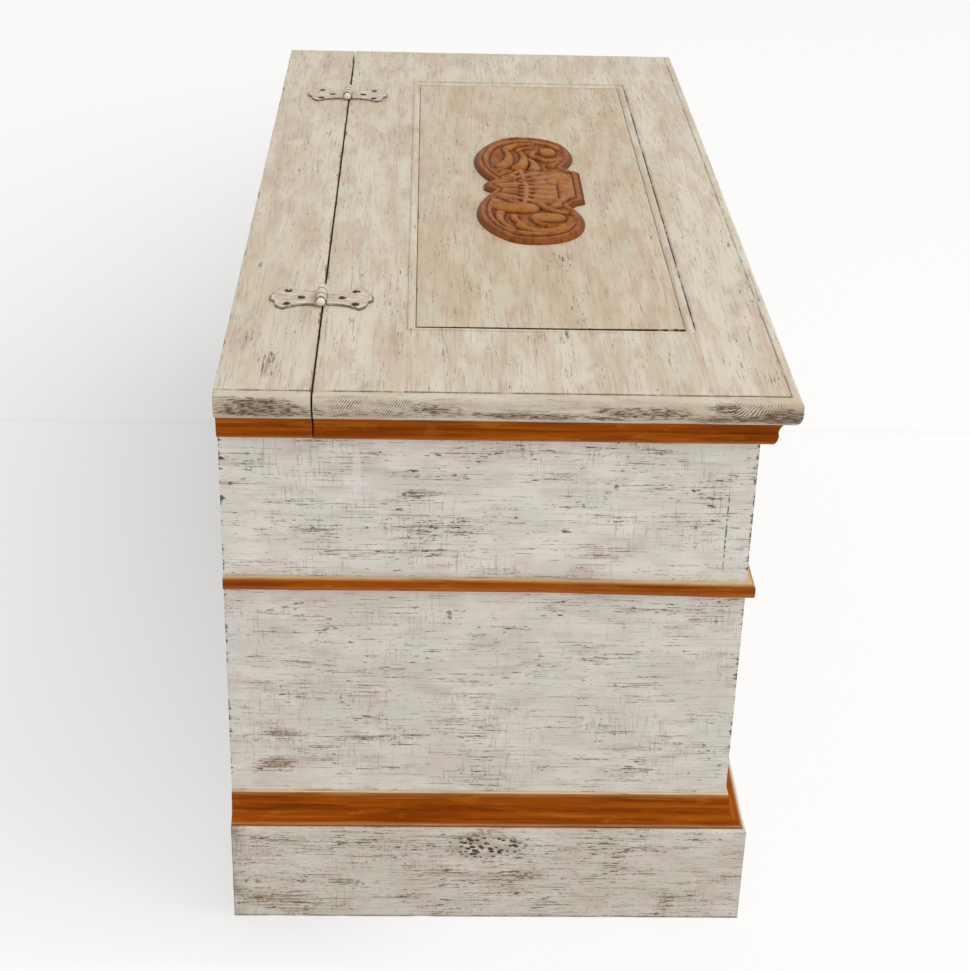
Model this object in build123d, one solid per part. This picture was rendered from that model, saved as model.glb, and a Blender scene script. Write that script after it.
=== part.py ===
from build123d import *
import os

os.makedirs("parts", exist_ok=True)

# Storage bench: a painted chest with a plinth, three runs of moulding and a
# framed lid on two butterfly hinges. Millimetres, +Z up. The origin is on the
# floor under the middle of the outline. X runs along the length, the front
# faces -Y and the flat back is at +Y. "Left" is the -X end.

# Overall sizes
chest_length = 976.0        # over the outer faces of the end boards
chest_depth = 452.0         # back face to the outer face of the front board
height = 541.0              # floor to the top of the lid frame
top_overhang = 28.0         # how far the top stands out over the front and the ends

# Boards
carcass_board = 22.0        # front and end boards
back_board = 18.0
bottom_thickness = 15.0
bottom_level = 75.0         # underside of the bottom board above the floor
board_lift = 12.0           # carcass boards stop this far above the floor
bottom_play = 0.5           # bottom board to the boards round it
cleat_width = 25.0
cleat_height = 25.0
block_side = 34.0           # legs of the three-cornered glue blocks
block_height = 36.0

# Plinth and mouldings
plinth_height = 101.7
plinth_thickness = 19.0
plinth_arris = 1.5
base_height = 29.0
base_foot = 16.0            # reach of the cavetto at its foot
base_top = 2.6              # reach of the cavetto at its top
base_foot_fillet = 2.0
base_cove_top = 11.0        # height at which the cove ends
base_cove_reach = 4.0       # and its reach there
base_cove_sag = 3.2
band_level = 345.3          # underside of the band above the floor
band_height = 11.3
band_reach = 7.0
band_round = 2.6
cornice_height = 22.8
cornice_top = 14.2          # reach of the cornice under the top
cornice_lip = 1.6
cornice_break = 11.1        # reach where the cove meets the bead
cornice_break_height = 11.2
cornice_cove_sag = 1.0
cornice_bead_step = 0.45
cornice_bead_sag = 1.2
cornice_bottom = 8.0        # reach of the flat underside
cornice_play = 0.8          # lid cornice to the carcass boards

# Top: lid frame and back rail
top_thickness = 26.0
nose_top_round = 5.5
nose_under_height = 13.0    # the nose curves in over this height ...
nose_under_reach = 7.7      # ... by this much along the front, down to the underside,
nose_end_reach = 11.5       # ... and by this much at the two ends
nose_under_sag = 2.1
quirk_width = 9.6           # rim outside the sunk line
quirk_depth = 0.8
back_arris = 1.5
rail_width = 78.5           # fixed back rail, back face to hinge line
hinge_gap = 2.5             # gap between back rail and lid
hinge_stile_width = 81.5    # these three widths include the bevel
front_stile_width = 80.4
end_rail_width = 144.7
bevel_width = 8.0
bevel_depth = 2.0           # panel face lies this far below the frame
batten_width = 30.0
batten_height = 24.0

# Joints of the lid frame
panel_thickness = 14.0
tongue_thickness = 8.0
tongue_length = 7.0
groove_depth = 8.5
groove_play = 0.2           # tongue to each cheek of its groove
panel_margin = 0.8          # open line round the face of the panel
tenon_thickness = 9.0
tenon_length = 26.0
tenon_width = 84.0
tenon_offset = 27.0         # outer edge of the lid end to the tenon
tenon_play = 0.15

# Hinges
hinge_spacing = 628.0       # between the middles of the two hinges
barrel_radius = 4.5
barrel_length = 30.0
hinge_set_back = 1.5        # pin axis behind the middle of the gap
barrel_lift = 0.3           # barrel to the wood below it
knuckle_gap = 0.3
knuckle_middle = 11.4       # length of the lid leaf's knuckle
pin_radius = 2.0
pin_play = 0.05
neck_radius = 2.6
neck_length = 1.2
ball_radius = 4.3
ball_sink = 0.6             # neck into the ball
leaf_thickness = 2.0
leaf_reach = 46.5           # pin axis to the tip of a leaf
leaf_waist = 14.5           # half widths of the leaf
leaf_wide = 25.0
leaf_shoulder = 15.6
leaf_notch = 13.8
leaf_waist_end = 8.0        # distances of these places from the pin axis
leaf_wide_at = 33.5
leaf_shoulder_at = 41.4
leaf_notch_at = 42.0
leaf_flare_sag = 3.0        # bows of the leaf's outline, tail to tip
leaf_shoulder_sag = 1.5
leaf_tip_sag = 1.2
leaf_root = 0.5             # inner end of the leaf, short of the pin axis
leaf_relief = 0.8           # leaf to the other leaf's knuckle
screw_near = 18.0           # pin axis to the single screw
screw_far = 30.5            # pin axis to the pair
screw_pair = 15.0           # half the distance between the pair
screw_head_radius = 3.5
screw_shank_radius = 1.6
screw_shank_length = 14.0
screw_play = 0.15
pilot_play = 0.05           # pilot hole to the shank of its screw
slot_length = 4.4
slot_width = 0.9
slot_depth = 0.8

# Carved ornament
emblem_half_length = 163.0
emblem_half_width = 55.5
emblem_rim_height = 4.5
emblem_rim_width = 9.0
emblem_height = 8.5         # carved field inside the rim
emblem_set_back = 3.5       # behind the middle of the panel

spare = 5.0                 # cutting shapes run past the wood by this much

# Places that follow from the sizes
x_end = chest_length / 2
y_back = (chest_depth + top_overhang) / 2
y_front = y_back - chest_depth
z_seat = height - top_thickness
x_nose = x_end + top_overhang
y_nose = y_front - top_overhang
y_rail = y_back - rail_width
y_lid = y_rail - hinge_gap
y_hinge = (y_rail + y_lid) / 2 + hinge_set_back
z_hinge = height + barrel_lift + barrel_radius
x_recess = x_nose - end_rail_width + bevel_width
y_recess_back = y_lid - hinge_stile_width + bevel_width
y_recess_front = y_nose + front_stile_width - bevel_width
y_panel_middle = (y_recess_back + y_recess_front) / 2
z_panel = height - bevel_depth


def block(low, high):
    """Square block between two opposite corners."""
    size = [high[i] - low[i] for i in range(3)]
    middle = [(high[i] + low[i]) / 2 for i in range(3)]
    return Pos(*middle) * Box(*size)


def prism(points, low, high):
    """Upright prism over a plan outline, between two levels."""
    face = make_face(Polyline(*points, close=True))
    return Pos(0, 0, low) * extrude(face, high - low)


def save(name, solid):
    """Write one piece, or one group of equal pieces, as its own file."""
    solid.label = name
    export_step(solid, f"parts/{name}.step")


# Carcass -------------------------------------------------------------------

def carcass():
    """Front board laps the end boards; the back is set between them."""
    inner_x = x_end - carcass_board
    inner_front = y_front + carcass_board
    inner_back = y_back - back_board
    low, high = board_lift, z_seat
    save("front_panel", block((-x_end, y_front, low), (x_end, inner_front, high)))
    save("left_end_panel", block((-x_end, inner_front, low), (-inner_x, y_back, high)))
    save("right_end_panel", block((inner_x, inner_front, low), (x_end, y_back, high)))
    save("back_panel", block((-inner_x, inner_back, low), (inner_x, y_back, high)))

    # The bottom lies on four cleats along the boards.
    top = bottom_level + bottom_thickness
    save("bottom_board", block(
        (-inner_x + bottom_play, inner_front + bottom_play, bottom_level),
        (inner_x - bottom_play, inner_back - bottom_play, top)))
    low = bottom_level - cleat_height
    save("bottom_cleat_front", block(
        (-inner_x, inner_front, low), (inner_x, inner_front + cleat_width, bottom_level)))
    save("bottom_cleat_back", block(
        (-inner_x, inner_back - cleat_width, low), (inner_x, inner_back, bottom_level)))
    for side, name in ((-1, "left"), (1, "right")):
        xs = sorted((side * inner_x, side * (inner_x - cleat_width)))
        save(f"bottom_cleat_{name}", block(
            (xs[0], inner_front + cleat_width, low),
            (xs[1], inner_back - cleat_width, bottom_level)))

    # Three-cornered glue blocks stiffen the corners under the cleats.
    for side, name in ((-1, "left"), (1, "right")):
        for y, turn, place in ((inner_front, 1, "front"), (inner_back, -1, "back")):
            x = side * inner_x
            corner = [(x, y), (x - side * block_side, y), (x, y + turn * block_side)]
            save(f"glue_block_{place}_{name}", prism(corner, low - block_height, low))

    # Batten under the back rail, along the top of the back board.
    save("back_rail_batten", block(
        (-inner_x, inner_back - batten_width, z_seat - batten_height),
        (inner_x, inner_back, z_seat)))


# Mouldings -----------------------------------------------------------------
# Each section is drawn with its reach from the wall along X and its height
# along Y, from the lower inner corner.

def plinth_section():
    face = make_face(Polyline(
        (0, 0), (plinth_thickness, 0), (plinth_thickness, plinth_height),
        (0, plinth_height), close=True))
    outer_top = face.vertices().sort_by(Axis.X)[-2:].sort_by(Axis.Y)[-1]
    return fillet(outer_top, plinth_arris)


def base_section():
    cove_foot = (base_foot, base_foot_fillet)
    cove_end = (base_cove_reach, base_cove_top)
    return make_face(
        Polyline((0, base_height), (0, 0), (base_foot, 0), cove_foot)
        + SagittaArc(cove_foot, cove_end, base_cove_sag)
        + Polyline(cove_end, (base_top, base_height), (0, base_height)))


def band_section():
    face = make_face(Polyline(
        (0, 0), (band_reach, 0), (band_reach, band_height), (0, band_height), close=True))
    return fillet(face.vertices().sort_by(Axis.X)[-2:], band_round)


def cornice_section():
    lip_foot = (cornice_top, cornice_height - cornice_lip)
    cove_foot = (cornice_break, cornice_break_height)
    bead = (cornice_break + cornice_bead_step, cornice_break_height - cornice_bead_step)
    foot = (cornice_bottom, 0)
    return make_face(
        Polyline(foot, (0, 0), (0, cornice_height), (cornice_top, cornice_height), lip_foot)
        + SagittaArc(lip_foot, cove_foot, -cornice_cove_sag)
        + Line(cove_foot, bead)
        + SagittaArc(bead, foot, cornice_bead_sag))


def side_run(section, side, y_from, y_to, level, stand_off):
    """Run along an end of the chest; side is -1 at the left and 1 at the right."""
    start = y_from if side < 0 else y_to
    wall = Plane(origin=(side * (x_end + stand_off), start, level),
                 x_dir=(side, 0, 0), z_dir=(0, -side, 0))
    return extrude(wall * section, y_to - y_from)


def corner_plane(side):
    """Upright mitre plane at a front corner, facing the end of the chest."""
    return Plane(origin=(side * x_end, y_front, 0), z_dir=(side, 1, 0))


def moulding_set(name, section, level, y_end, stand_off=0.0):
    """Left, front and right runs, mitred at the two front corners."""
    reach = top_overhang + plinth_thickness
    for side, end in ((-1, "left"), (1, "right")):
        run = side_run(section, side, y_front - reach, y_end, level, stand_off)
        save(f"{name}_{end}", split(run, corner_plane(side), Keep.TOP))
    wall = Plane(origin=(x_end + reach, y_front - stand_off, level),
                 x_dir=(0, -1, 0), z_dir=(-1, 0, 0))
    run = extrude(wall * section, chest_length + 2 * reach)
    for side in (-1, 1):
        run = split(run, corner_plane(side), Keep.BOTTOM)
    save(f"{name}_front", run)


def mouldings():
    cornice_level = z_seat - cornice_height
    moulding_set("plinth", plinth_section(), 0, y_back)
    moulding_set("base_moulding", base_section(), plinth_height, y_back)
    moulding_set("band", band_section(), band_level, y_back)
    moulding_set("lid_cornice", cornice_section(), cornice_level, y_lid, cornice_play)
    for side, end in ((-1, "left"), (1, "right")):
        save(f"rail_cornice_{end}",
             side_run(cornice_section(), side, y_rail, y_back, cornice_level, 0))


# Top -----------------------------------------------------------------------

def screw_places(side):
    """Places of the three screws of one leaf of both hinges; side 1 is the back rail."""
    places = []
    for hinge in (-1, 1):
        middle = hinge * hinge_spacing / 2
        places.append((middle, y_hinge + side * screw_near))
        places.append((middle - screw_pair, y_hinge + side * screw_far))
        places.append((middle + screw_pair, y_hinge + side * screw_far))
    return places


def pilot_holes(board, side):
    """Holes in the wood that the hinge screws fill."""
    depth = screw_shank_length + screw_play
    hole = Cylinder(screw_shank_radius + pilot_play, depth)
    for x, y in screw_places(side):
        board -= Pos(x, y, height - depth / 2) * hole
    return board


def nose_section(reach, under_reach):
    """Half section of the top, from its middle out to the moulded nose."""
    rim = height - quirk_depth
    quirk = reach - quirk_width
    crown = (reach - nose_top_round, rim)
    crown_end = (reach, rim - nose_top_round)
    under = (reach, z_seat + nose_under_height)
    foot = (reach - under_reach, z_seat)
    return make_face(
        Polyline((0, height), (quirk, height), (quirk, rim), crown)
        + RadiusArc(crown, crown_end, nose_top_round)
        + Line(crown_end, under)
        + SagittaArc(under, foot, nose_under_sag)
        + Polyline(foot, (0, z_seat), (0, height)))


def back_half():
    """Half section of the top from its middle to the square back edge."""
    face = make_face(Polyline(
        (0, height), (0, z_seat), (-y_back, z_seat), (-y_back, height), close=True))
    return fillet(face.vertices().sort_by(Axis.X)[:2].sort_by(Axis.Y)[-1], back_arris)


def slab():
    """The whole top: two moulded sections crossed, so that the nose is mitred."""
    half = nose_section(x_nose, nose_end_reach)
    along_depth = extrude(Plane.XZ * (half + mirror(half, Plane.YZ)), 2 * y_back, both=True)
    across = Plane(origin=(0, 0, 0), x_dir=(0, -1, 0), z_dir=(-1, 0, 0))
    section = nose_section(-y_nose, nose_under_reach) + back_half()
    along_length = extrude(across * section, 2 * x_nose, both=True)
    return along_depth & along_length


def recess():
    """Opening of the frame: through hole, bevelled at the top, and panel groove."""
    face_x = x_recess - bevel_width
    face_back = y_recess_back - bevel_width
    face_front = y_recess_front + bevel_width
    hole = block((-face_x, face_front, z_seat), (face_x, face_back, height))
    size_x = 2 * x_recess
    size_y = y_recess_back - y_recess_front
    top = Pos(0, y_panel_middle, height) * Rectangle(size_x, size_y)
    foot = Pos(0, y_panel_middle, z_panel) * Rectangle(size_x - 2 * bevel_width,
                                                       size_y - 2 * bevel_width)
    bevel = loft([foot, top])
    tongue_low = z_panel - panel_thickness
    groove = block(
        (-face_x - groove_depth, face_front - groove_depth, tongue_low - groove_play),
        (face_x + groove_depth, face_back + groove_depth,
         tongue_low + tongue_thickness + groove_play))
    return hole + bevel + groove


def tenon(side, end, play):
    """Tenon of an end rail into a stile; end 1 is the hinge stile, -1 the front stile."""
    shoulder = y_recess_back if end > 0 else y_recess_front
    xs = sorted(side * (x_nose - tenon_offset - d) for d in (-play, tenon_width + play))
    ys = sorted((shoulder - end, shoulder + end * (tenon_length + play)))
    middle = z_panel - panel_thickness + tongue_thickness / 2
    half = tenon_thickness / 2 + play
    return block((xs[0], ys[0], middle - half), (xs[1], ys[1], middle + half))


def top():
    """Back rail and the four members of the lid frame, cut from one moulded slab."""
    whole = slab()
    low, high = z_seat - spare, height + spare
    rail = whole & block((-x_nose, y_rail, low), (x_nose, y_back, high))
    save("back_rail", pilot_holes(rail, 1))

    frame = whole - recess()
    face_x = x_recess - bevel_width
    stiles = (
        ("lid_hinge_stile", y_lid, y_recess_back, y_recess_back - bevel_width, 1),
        ("lid_front_stile", y_nose, y_recess_front, y_recess_front + bevel_width, -1))
    for name, outer, shoulder, face, end in stiles:
        plan = [(-x_nose, outer), (x_nose, outer), (x_nose, shoulder), (x_recess, shoulder),
                (face_x, face), (-face_x, face), (-x_recess, shoulder), (-x_nose, shoulder)]
        stile = frame & prism(plan, low, high)
        for side in (-1, 1):
            stile -= tenon(side, end, tenon_play)
        save(name, pilot_holes(stile, -1) if end > 0 else stile)
    for side, name in ((-1, "lid_left_rail"), (1, "lid_right_rail")):
        plan = [(side * x_nose, y_recess_back), (side * x_recess, y_recess_back),
                (side * face_x, y_recess_back - bevel_width),
                (side * face_x, y_recess_front + bevel_width),
                (side * x_recess, y_recess_front), (side * x_nose, y_recess_front)]
        rail = frame & prism(plan, low, high)
        for end in (-1, 1):
            rail += tenon(side, end, 0)
        save(name, rail)


def panel():
    """Panel with a tongue all round, loose in the grooves of the frame."""
    face_x = x_recess - bevel_width
    back, front = y_recess_back - bevel_width, y_recess_front + bevel_width
    low = z_panel - panel_thickness
    field = block((-face_x + panel_margin, front + panel_margin, low),
                  (face_x - panel_margin, back - panel_margin, z_panel))
    tongue = block((-face_x - tongue_length, front - tongue_length, low),
                   (face_x + tongue_length, back + tongue_length, low + tongue_thickness))
    save("lid_panel", field + tongue)


# Hinges --------------------------------------------------------------------

def leaf_outline():
    """One leaf in plan: reach from the pin axis along X, width along Y."""
    root = (leaf_root, 0)
    waist = (leaf_waist_end, leaf_waist)
    wide = (leaf_wide_at, leaf_wide)
    shoulder = (leaf_shoulder_at, leaf_shoulder)
    notch = (leaf_notch_at, leaf_notch)
    tip = (leaf_reach, 0)
    face = make_face(
        Polyline(tip, root, (leaf_root, leaf_waist), waist)
        + SagittaArc(waist, wide, -leaf_flare_sag)
        + SagittaArc(wide, shoulder, leaf_shoulder_sag)
        + Line(shoulder, notch)
        + SagittaArc(notch, tip, leaf_tip_sag))
    return face + mirror(face, Plane.XZ)


def leaf(middle, side):
    """Leaf of one hinge; side 1 lies on the back rail, -1 on the lid."""
    plan = Plane(origin=(middle, y_hinge, height), x_dir=(0, side, 0), z_dir=(0, 0, 1))
    plate = extrude(plan * leaf_outline(), leaf_thickness)
    half_middle = knuckle_middle / 2
    outer_from = half_middle + knuckle_gap
    barrel_end = barrel_length / 2
    if side > 0:
        own = [(-barrel_end, -outer_from), (outer_from, barrel_end)]
        other = [(-outer_from, outer_from)]
    else:
        own = [(-half_middle, half_middle)]
        other = [(-barrel_end - spare, -half_middle), (half_middle, barrel_end + spare)]
    clear = barrel_radius + leaf_relief
    for start, end in other:
        plate -= block((middle + start, y_hinge - clear, height - spare),
                       (middle + end, y_hinge + clear, height + leaf_thickness + spare))
    for start, end in own:
        tube = Rot(0, 90, 0) * Cylinder(barrel_radius, end - start)
        plate += Pos(middle + (start + end) / 2, y_hinge, z_hinge) * tube
    bore = Rot(0, 90, 0) * Cylinder(pin_radius + pin_play, barrel_length + 2 * spare)
    plate -= Pos(middle, y_hinge, z_hinge) * bore
    sink = Cone(screw_shank_radius + screw_play, screw_head_radius + screw_play, leaf_thickness)
    for x, y in screw_places(side):
        if abs(x - middle) < leaf_wide:
            plate -= Pos(x, y, height + leaf_thickness / 2) * sink
    return plate


def pin(middle):
    """Pin with a ball tip at each end."""
    solid = Rot(0, 90, 0) * Cylinder(pin_radius, barrel_length)
    ball_at = barrel_length / 2 + neck_length + ball_radius - ball_sink
    for side in (-1, 1):
        neck = Rot(0, 90, 0) * Cylinder(neck_radius, neck_length)
        solid += Pos(side * (barrel_length + neck_length) / 2, 0, 0) * neck
        solid += Pos(side * ball_at, 0, 0) * Sphere(ball_radius)
    return Pos(middle, y_hinge, z_hinge) * solid


def screws(side):
    """Six countersunk screws with cross recesses."""
    group = []
    for x, y in screw_places(side):
        head = Cone(screw_shank_radius, screw_head_radius, leaf_thickness)
        screw = Pos(0, 0, leaf_thickness / 2) * head
        screw += Pos(0, 0, -screw_shank_length / 2) * Cylinder(screw_shank_radius,
                                                               screw_shank_length)
        for turn in (45, 135):
            slot = Rot(0, 0, turn) * Box(slot_length, slot_width, 2 * slot_depth)
            screw -= Pos(0, 0, leaf_thickness) * slot
        group.append(Pos(x, y, height) * screw)
    return Compound(children=group)


def hinges():
    for side, name in ((-1, "left"), (1, "right")):
        middle = side * hinge_spacing / 2
        save(f"{name}_hinge_rail_leaf", leaf(middle, 1))
        save(f"{name}_hinge_lid_leaf", leaf(middle, -1))
        save(f"{name}_hinge_pin", pin(middle))
    save("rail_hinge_screws", screws(1))
    save("lid_hinge_screws", screws(-1))


# Carved ornament -----------------------------------------------------------

def emblem():
    """Two scroll lobes joined by a waist, with a broad tab in front and a small one behind."""
    length, width = emblem_half_length, emblem_half_width
    waist = (0.1 * length, -0.68 * width)
    crest = (0.5 * length, -width)
    notch = (0.37 * length, 0.73 * width)
    cheek = (0.78 * length, 0.86 * width)
    tip_low = (0.96 * length, -0.44 * width)
    lobe = (
        ThreePointArc(waist, (0.27 * length, -0.9 * width), crest)
        + ThreePointArc(crest, (0.78 * length, -0.87 * width), tip_low)
        + ThreePointArc(tip_low, (length, 0.05 * width), cheek)
        + ThreePointArc(cheek, (0.57 * length, 0.92 * width), notch))
    small_tab = Polyline((0, -0.84 * width), (0.045 * length, -0.84 * width), waist)
    broad_tab = Polyline(notch, (0.315 * length, 0.84 * width), (0.28 * length, width),
                         (0, width), (0, -0.84 * width))
    face = make_face(small_tab + lobe + broad_tab)
    # The plan is drawn with the broad tab towards +Y and turned to face the front.
    plan = mirror(face + mirror(face, Plane.YZ), Plane.XZ)
    rim = extrude(plan, emblem_rim_height)
    field = extrude(offset(plan, -emblem_rim_width), emblem_height)
    place = Pos(0, y_panel_middle + emblem_set_back, z_panel)
    save("carved_emblem", place * (rim + field))


carcass()
mouldings()
top()
panel()
hinges()
emblem()
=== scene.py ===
import math
import bpy
import numpy as np
from mathutils import Matrix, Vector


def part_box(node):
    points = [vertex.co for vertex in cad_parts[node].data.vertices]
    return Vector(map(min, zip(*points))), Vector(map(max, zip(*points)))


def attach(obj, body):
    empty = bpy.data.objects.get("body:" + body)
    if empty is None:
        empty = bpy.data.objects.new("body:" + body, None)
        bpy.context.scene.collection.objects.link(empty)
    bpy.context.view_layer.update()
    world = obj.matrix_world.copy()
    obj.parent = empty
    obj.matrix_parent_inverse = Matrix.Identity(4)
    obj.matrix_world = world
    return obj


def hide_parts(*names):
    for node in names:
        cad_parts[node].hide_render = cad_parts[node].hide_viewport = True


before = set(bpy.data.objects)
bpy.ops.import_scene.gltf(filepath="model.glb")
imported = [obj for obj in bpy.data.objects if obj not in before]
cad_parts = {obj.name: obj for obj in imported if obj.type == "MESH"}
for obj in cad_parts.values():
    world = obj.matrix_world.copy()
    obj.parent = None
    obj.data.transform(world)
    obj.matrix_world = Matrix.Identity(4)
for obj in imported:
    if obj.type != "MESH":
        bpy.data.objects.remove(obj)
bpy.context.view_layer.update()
mm = 0.001

# X runs along the length with the near end at -X, the front faces -Y and +Z is up.
# Distances in the settings are millimetres, and mm turns them to metres.

cameraView = {"place": (-1.96979, 0.07187, 1.22071), "heading": -92.11, "down": 27.58,
              "roll": 1.66, "lens": 73.73, "sensor": 36, "far": 60}  # metres, degrees, lens in mm


def addObject(name, data):
    # object at the origin that holds the data, in the scene's own collection
    made = bpy.data.objects.new(name, data)
    bpy.context.scene.collection.objects.link(made)
    return made


def placeCamera(view):
    # turned about X from looking down to its slope, about Z to its heading, after a roll of its own
    data = bpy.data.cameras.new("camera")
    data.lens, data.sensor_width, data.clip_end = view["lens"], view["sensor"], view["far"]
    camera = addObject("camera", data)
    turn = (Matrix.Rotation(math.radians(view["heading"]), 3, "Z")
            @ Matrix.Rotation(math.radians(90 - view["down"]), 3, "X")
            @ Matrix.Rotation(math.radians(view["roll"]), 3, "Z"))
    camera.rotation_euler = turn.to_euler()
    camera.location = view["place"]
    bpy.context.scene.camera = camera


placeCamera(cameraView)
bpy.context.scene.view_settings.view_transform = "Standard"
print("camera placed")


def put(tree, kind, links=None, pick=0, **settings):
    # adds one node, gives it its settings, then links or fills its sockets; returns one output
    node = tree.nodes.new("ShaderNode" + kind)
    for key, value in settings.items():
        setattr(node, key, value)
    for socket, source in (links or {}).items():
        if isinstance(source, bpy.types.NodeSocket):
            tree.links.new(source, node.inputs[socket])
        else:
            node.inputs[socket].default_value = source
    return node.outputs[pick] if node.outputs else None


def colour(text):
    # sRGB hex to linear: divide by 12.92 below 0.04045, else ((c + 0.055) / 1.055) ^ 2.4
    parts = [int(text[i:i + 2], 16) / 255 for i in (1, 3, 5)]
    return tuple(c / 12.92 if c <= 0.04045 else ((c + 0.055) / 1.055) ** 2.4
                 for c in parts) + (1.0,)


def newMaterial(name):
    # material with an empty node tree, and that tree
    material = bpy.data.materials.new(name)
    material.use_nodes = True
    material.node_tree.nodes.clear()
    return material, material.node_tree


def grains(tree, place, length, width, shift, detail=3.0, rough=0.55):
    # noise stretched to length x width (mm) along the grain
    along, across = 1 / (length * mm), 1 / (width * mm)
    scaled = put(tree, "Mapping", {"Vector": place, "Scale": (along, across, across),
                                   "Location": (shift, shift * 1.7, shift * 0.6)})
    return put(tree, "TexNoise", {"Vector": scaled, "Scale": 1.0, "Detail": detail, "Roughness": rough})


def addUp(tree, start, *parts):
    # start plus each value times its weight
    for value, weight in parts:
        start = put(tree, "Math", {0: value, 1: weight, 2: start}, operation="MULTIPLY_ADD")
    return start


def layer(tree, *factors):
    # product of the factors; a factor (value, low, high) is a smooth step from 0 at low to 1 at high
    thick = 1.0
    for factor in factors:
        if isinstance(factor, tuple):
            factor = put(tree, "MapRange", dict(enumerate(factor)), interpolation_type="SMOOTHSTEP")
        thick = put(tree, "Math", {0: factor, 1: thick}, operation="MULTIPLY")
    return thick


def coat(tree, under, over, *factors):
    # lays the colour over on the colour under, as thick as the product of the factors
    return put(tree, "Mix", {0: layer(tree, *factors), 6: under, 7: colour(over)}, pick=2,
               data_type="RGBA")


def films(tree, paint, place, look, *rows):
    # thin coats broken up by noise, one after another; each row gives the colour's name in look, the
    # grain's length and width (mm), its shift, where the step starts and ends, then other factors
    for name, length, width, shift, low, high, *factors in rows:
        paint = coat(tree, paint, look[name], (grains(tree, place, length, width, shift), low, high),
                     *factors)
    return paint


def blot(tree, centre, half, inner=0.2):
    # soft ellipsoid at a place on the object (mm): 1 inside the inner share, 0 outside half
    moved = put(tree, "Mapping", {"Vector": put(tree, "TexCoord", pick=3),
                                  "Scale": tuple(1 / (h * mm) for h in half),
                                  "Location": tuple(-c / h for c, h in zip(centre, half))})
    far = put(tree, "VectorMath", {0: moved}, pick=1, operation="LENGTH")
    return layer(tree, (far, 1.0, inner))


def onFace(axis, level, deep, *marks):
    # whole places for marks on one face of the chest, each given as (place, place, half size, half
    # size, strength) within the face; level and deep go in at the axis that the face looks along
    return [((*mark[:axis], level, *mark[axis:2]), (*mark[2:2 + axis], deep, *mark[2 + axis:4]), *mark[4:])
            for mark in marks]


def seenDirectly(tree):
    # 1 where the camera looks at the surface, also through a mirror or glass
    paths = put(tree, "LightPath").node
    seen = paths.outputs["Is Camera Ray"]
    for name in ("Is Glossy Ray", "Is Transmission Ray"):
        seen = put(tree, "Math", {0: seen, 1: paths.outputs[name]}, operation="MAXIMUM")
    return seen


def pieceMarks(tree):
    # the piece's own attributes: place in the wood, then wear, glaze with painted shade, end grain and bare
    # wood
    place = put(tree, "Attribute", pick=1, attribute_name="grain")
    marks = put(tree, "Attribute", pick=1, attribute_name="marks")
    split = put(tree, "SeparateXYZ", {0: marks}).node
    bare = put(tree, "Attribute", pick=2, attribute_name="bare")
    return place, split.outputs[0], split.outputs[1], split.outputs[2], bare


def close(tree, base, rough, height, bumpDepth, **shader):
    # principled surface with a bump that is bumpDepth mm deep
    bump = put(tree, "Bump", {"Height": height, "Distance": bumpDepth * mm, "Strength": 1.0})
    surface = put(tree, "BsdfPrincipled", {"Base Color": base, "Roughness": rough, "Normal": bump,
                                           **shader})
    put(tree, "OutputMaterial", {0: surface})


# Limewashed pine, brushed thin and rubbed back: matt, patchy, with short brown strokes in clusters.
# rows, ticks: length and width of the strokes and of the ticks they break into; fineFrom, boldFrom:
# where the two kinds of stroke start and end; blots: places where strokes crowd, face by face.
topWash = {
    "pale": "#DCD2BF", "warm": "#CEBFA8", "rosy": "#C9B09F", "mint": "#D5D2BF",
    "smoke": "#AD9B88", "stain": "#7C6046", "dark": "#45301D", "dirt": "#80604D",
    "hatch": "#7D6344", "edge": "#5B4632", "tone": (160, 32), "streak": 0.55, "spread": 4.0, "base": 0.0,
    "rows": (34, 1.4), "ticks": (9, 2.2), "fineFrom": (0.745, 0.87), "fine": 0.6,
    "boldFrom": (0.785, 0.86), "bold": 0.85, "crossing": 0.12, "wear": 0.85, "rough": 0.6,
    "blots": onFace(2, 541, 30,
                    (-449, 200, 46, 18, 1.8), (-398, 218, 40, 24, 1.0), (-477, 190, 16, 60, 0.7),
                    (-268, 94, 70, 16, 1.0), (-201, -65, 34, 24, 1.1), (-390, -47, 22, 34, 0.8),
                    (-457, -62, 22, 6, 1.4), (-232, 223, 12, 5, 2.4), (-150, 20, 50, 30, 0.7),
                    (-470, -215, 24, 24, 0.9), (120, 205, 60, 14, 1.0), (300, -120, 80, 40, 0.7))}
panelChange = {"pale": "#D5C7B1", "warm": "#C8B497", "rosy": "#C2A692", "mint": "#CDC6AF"}
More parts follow.
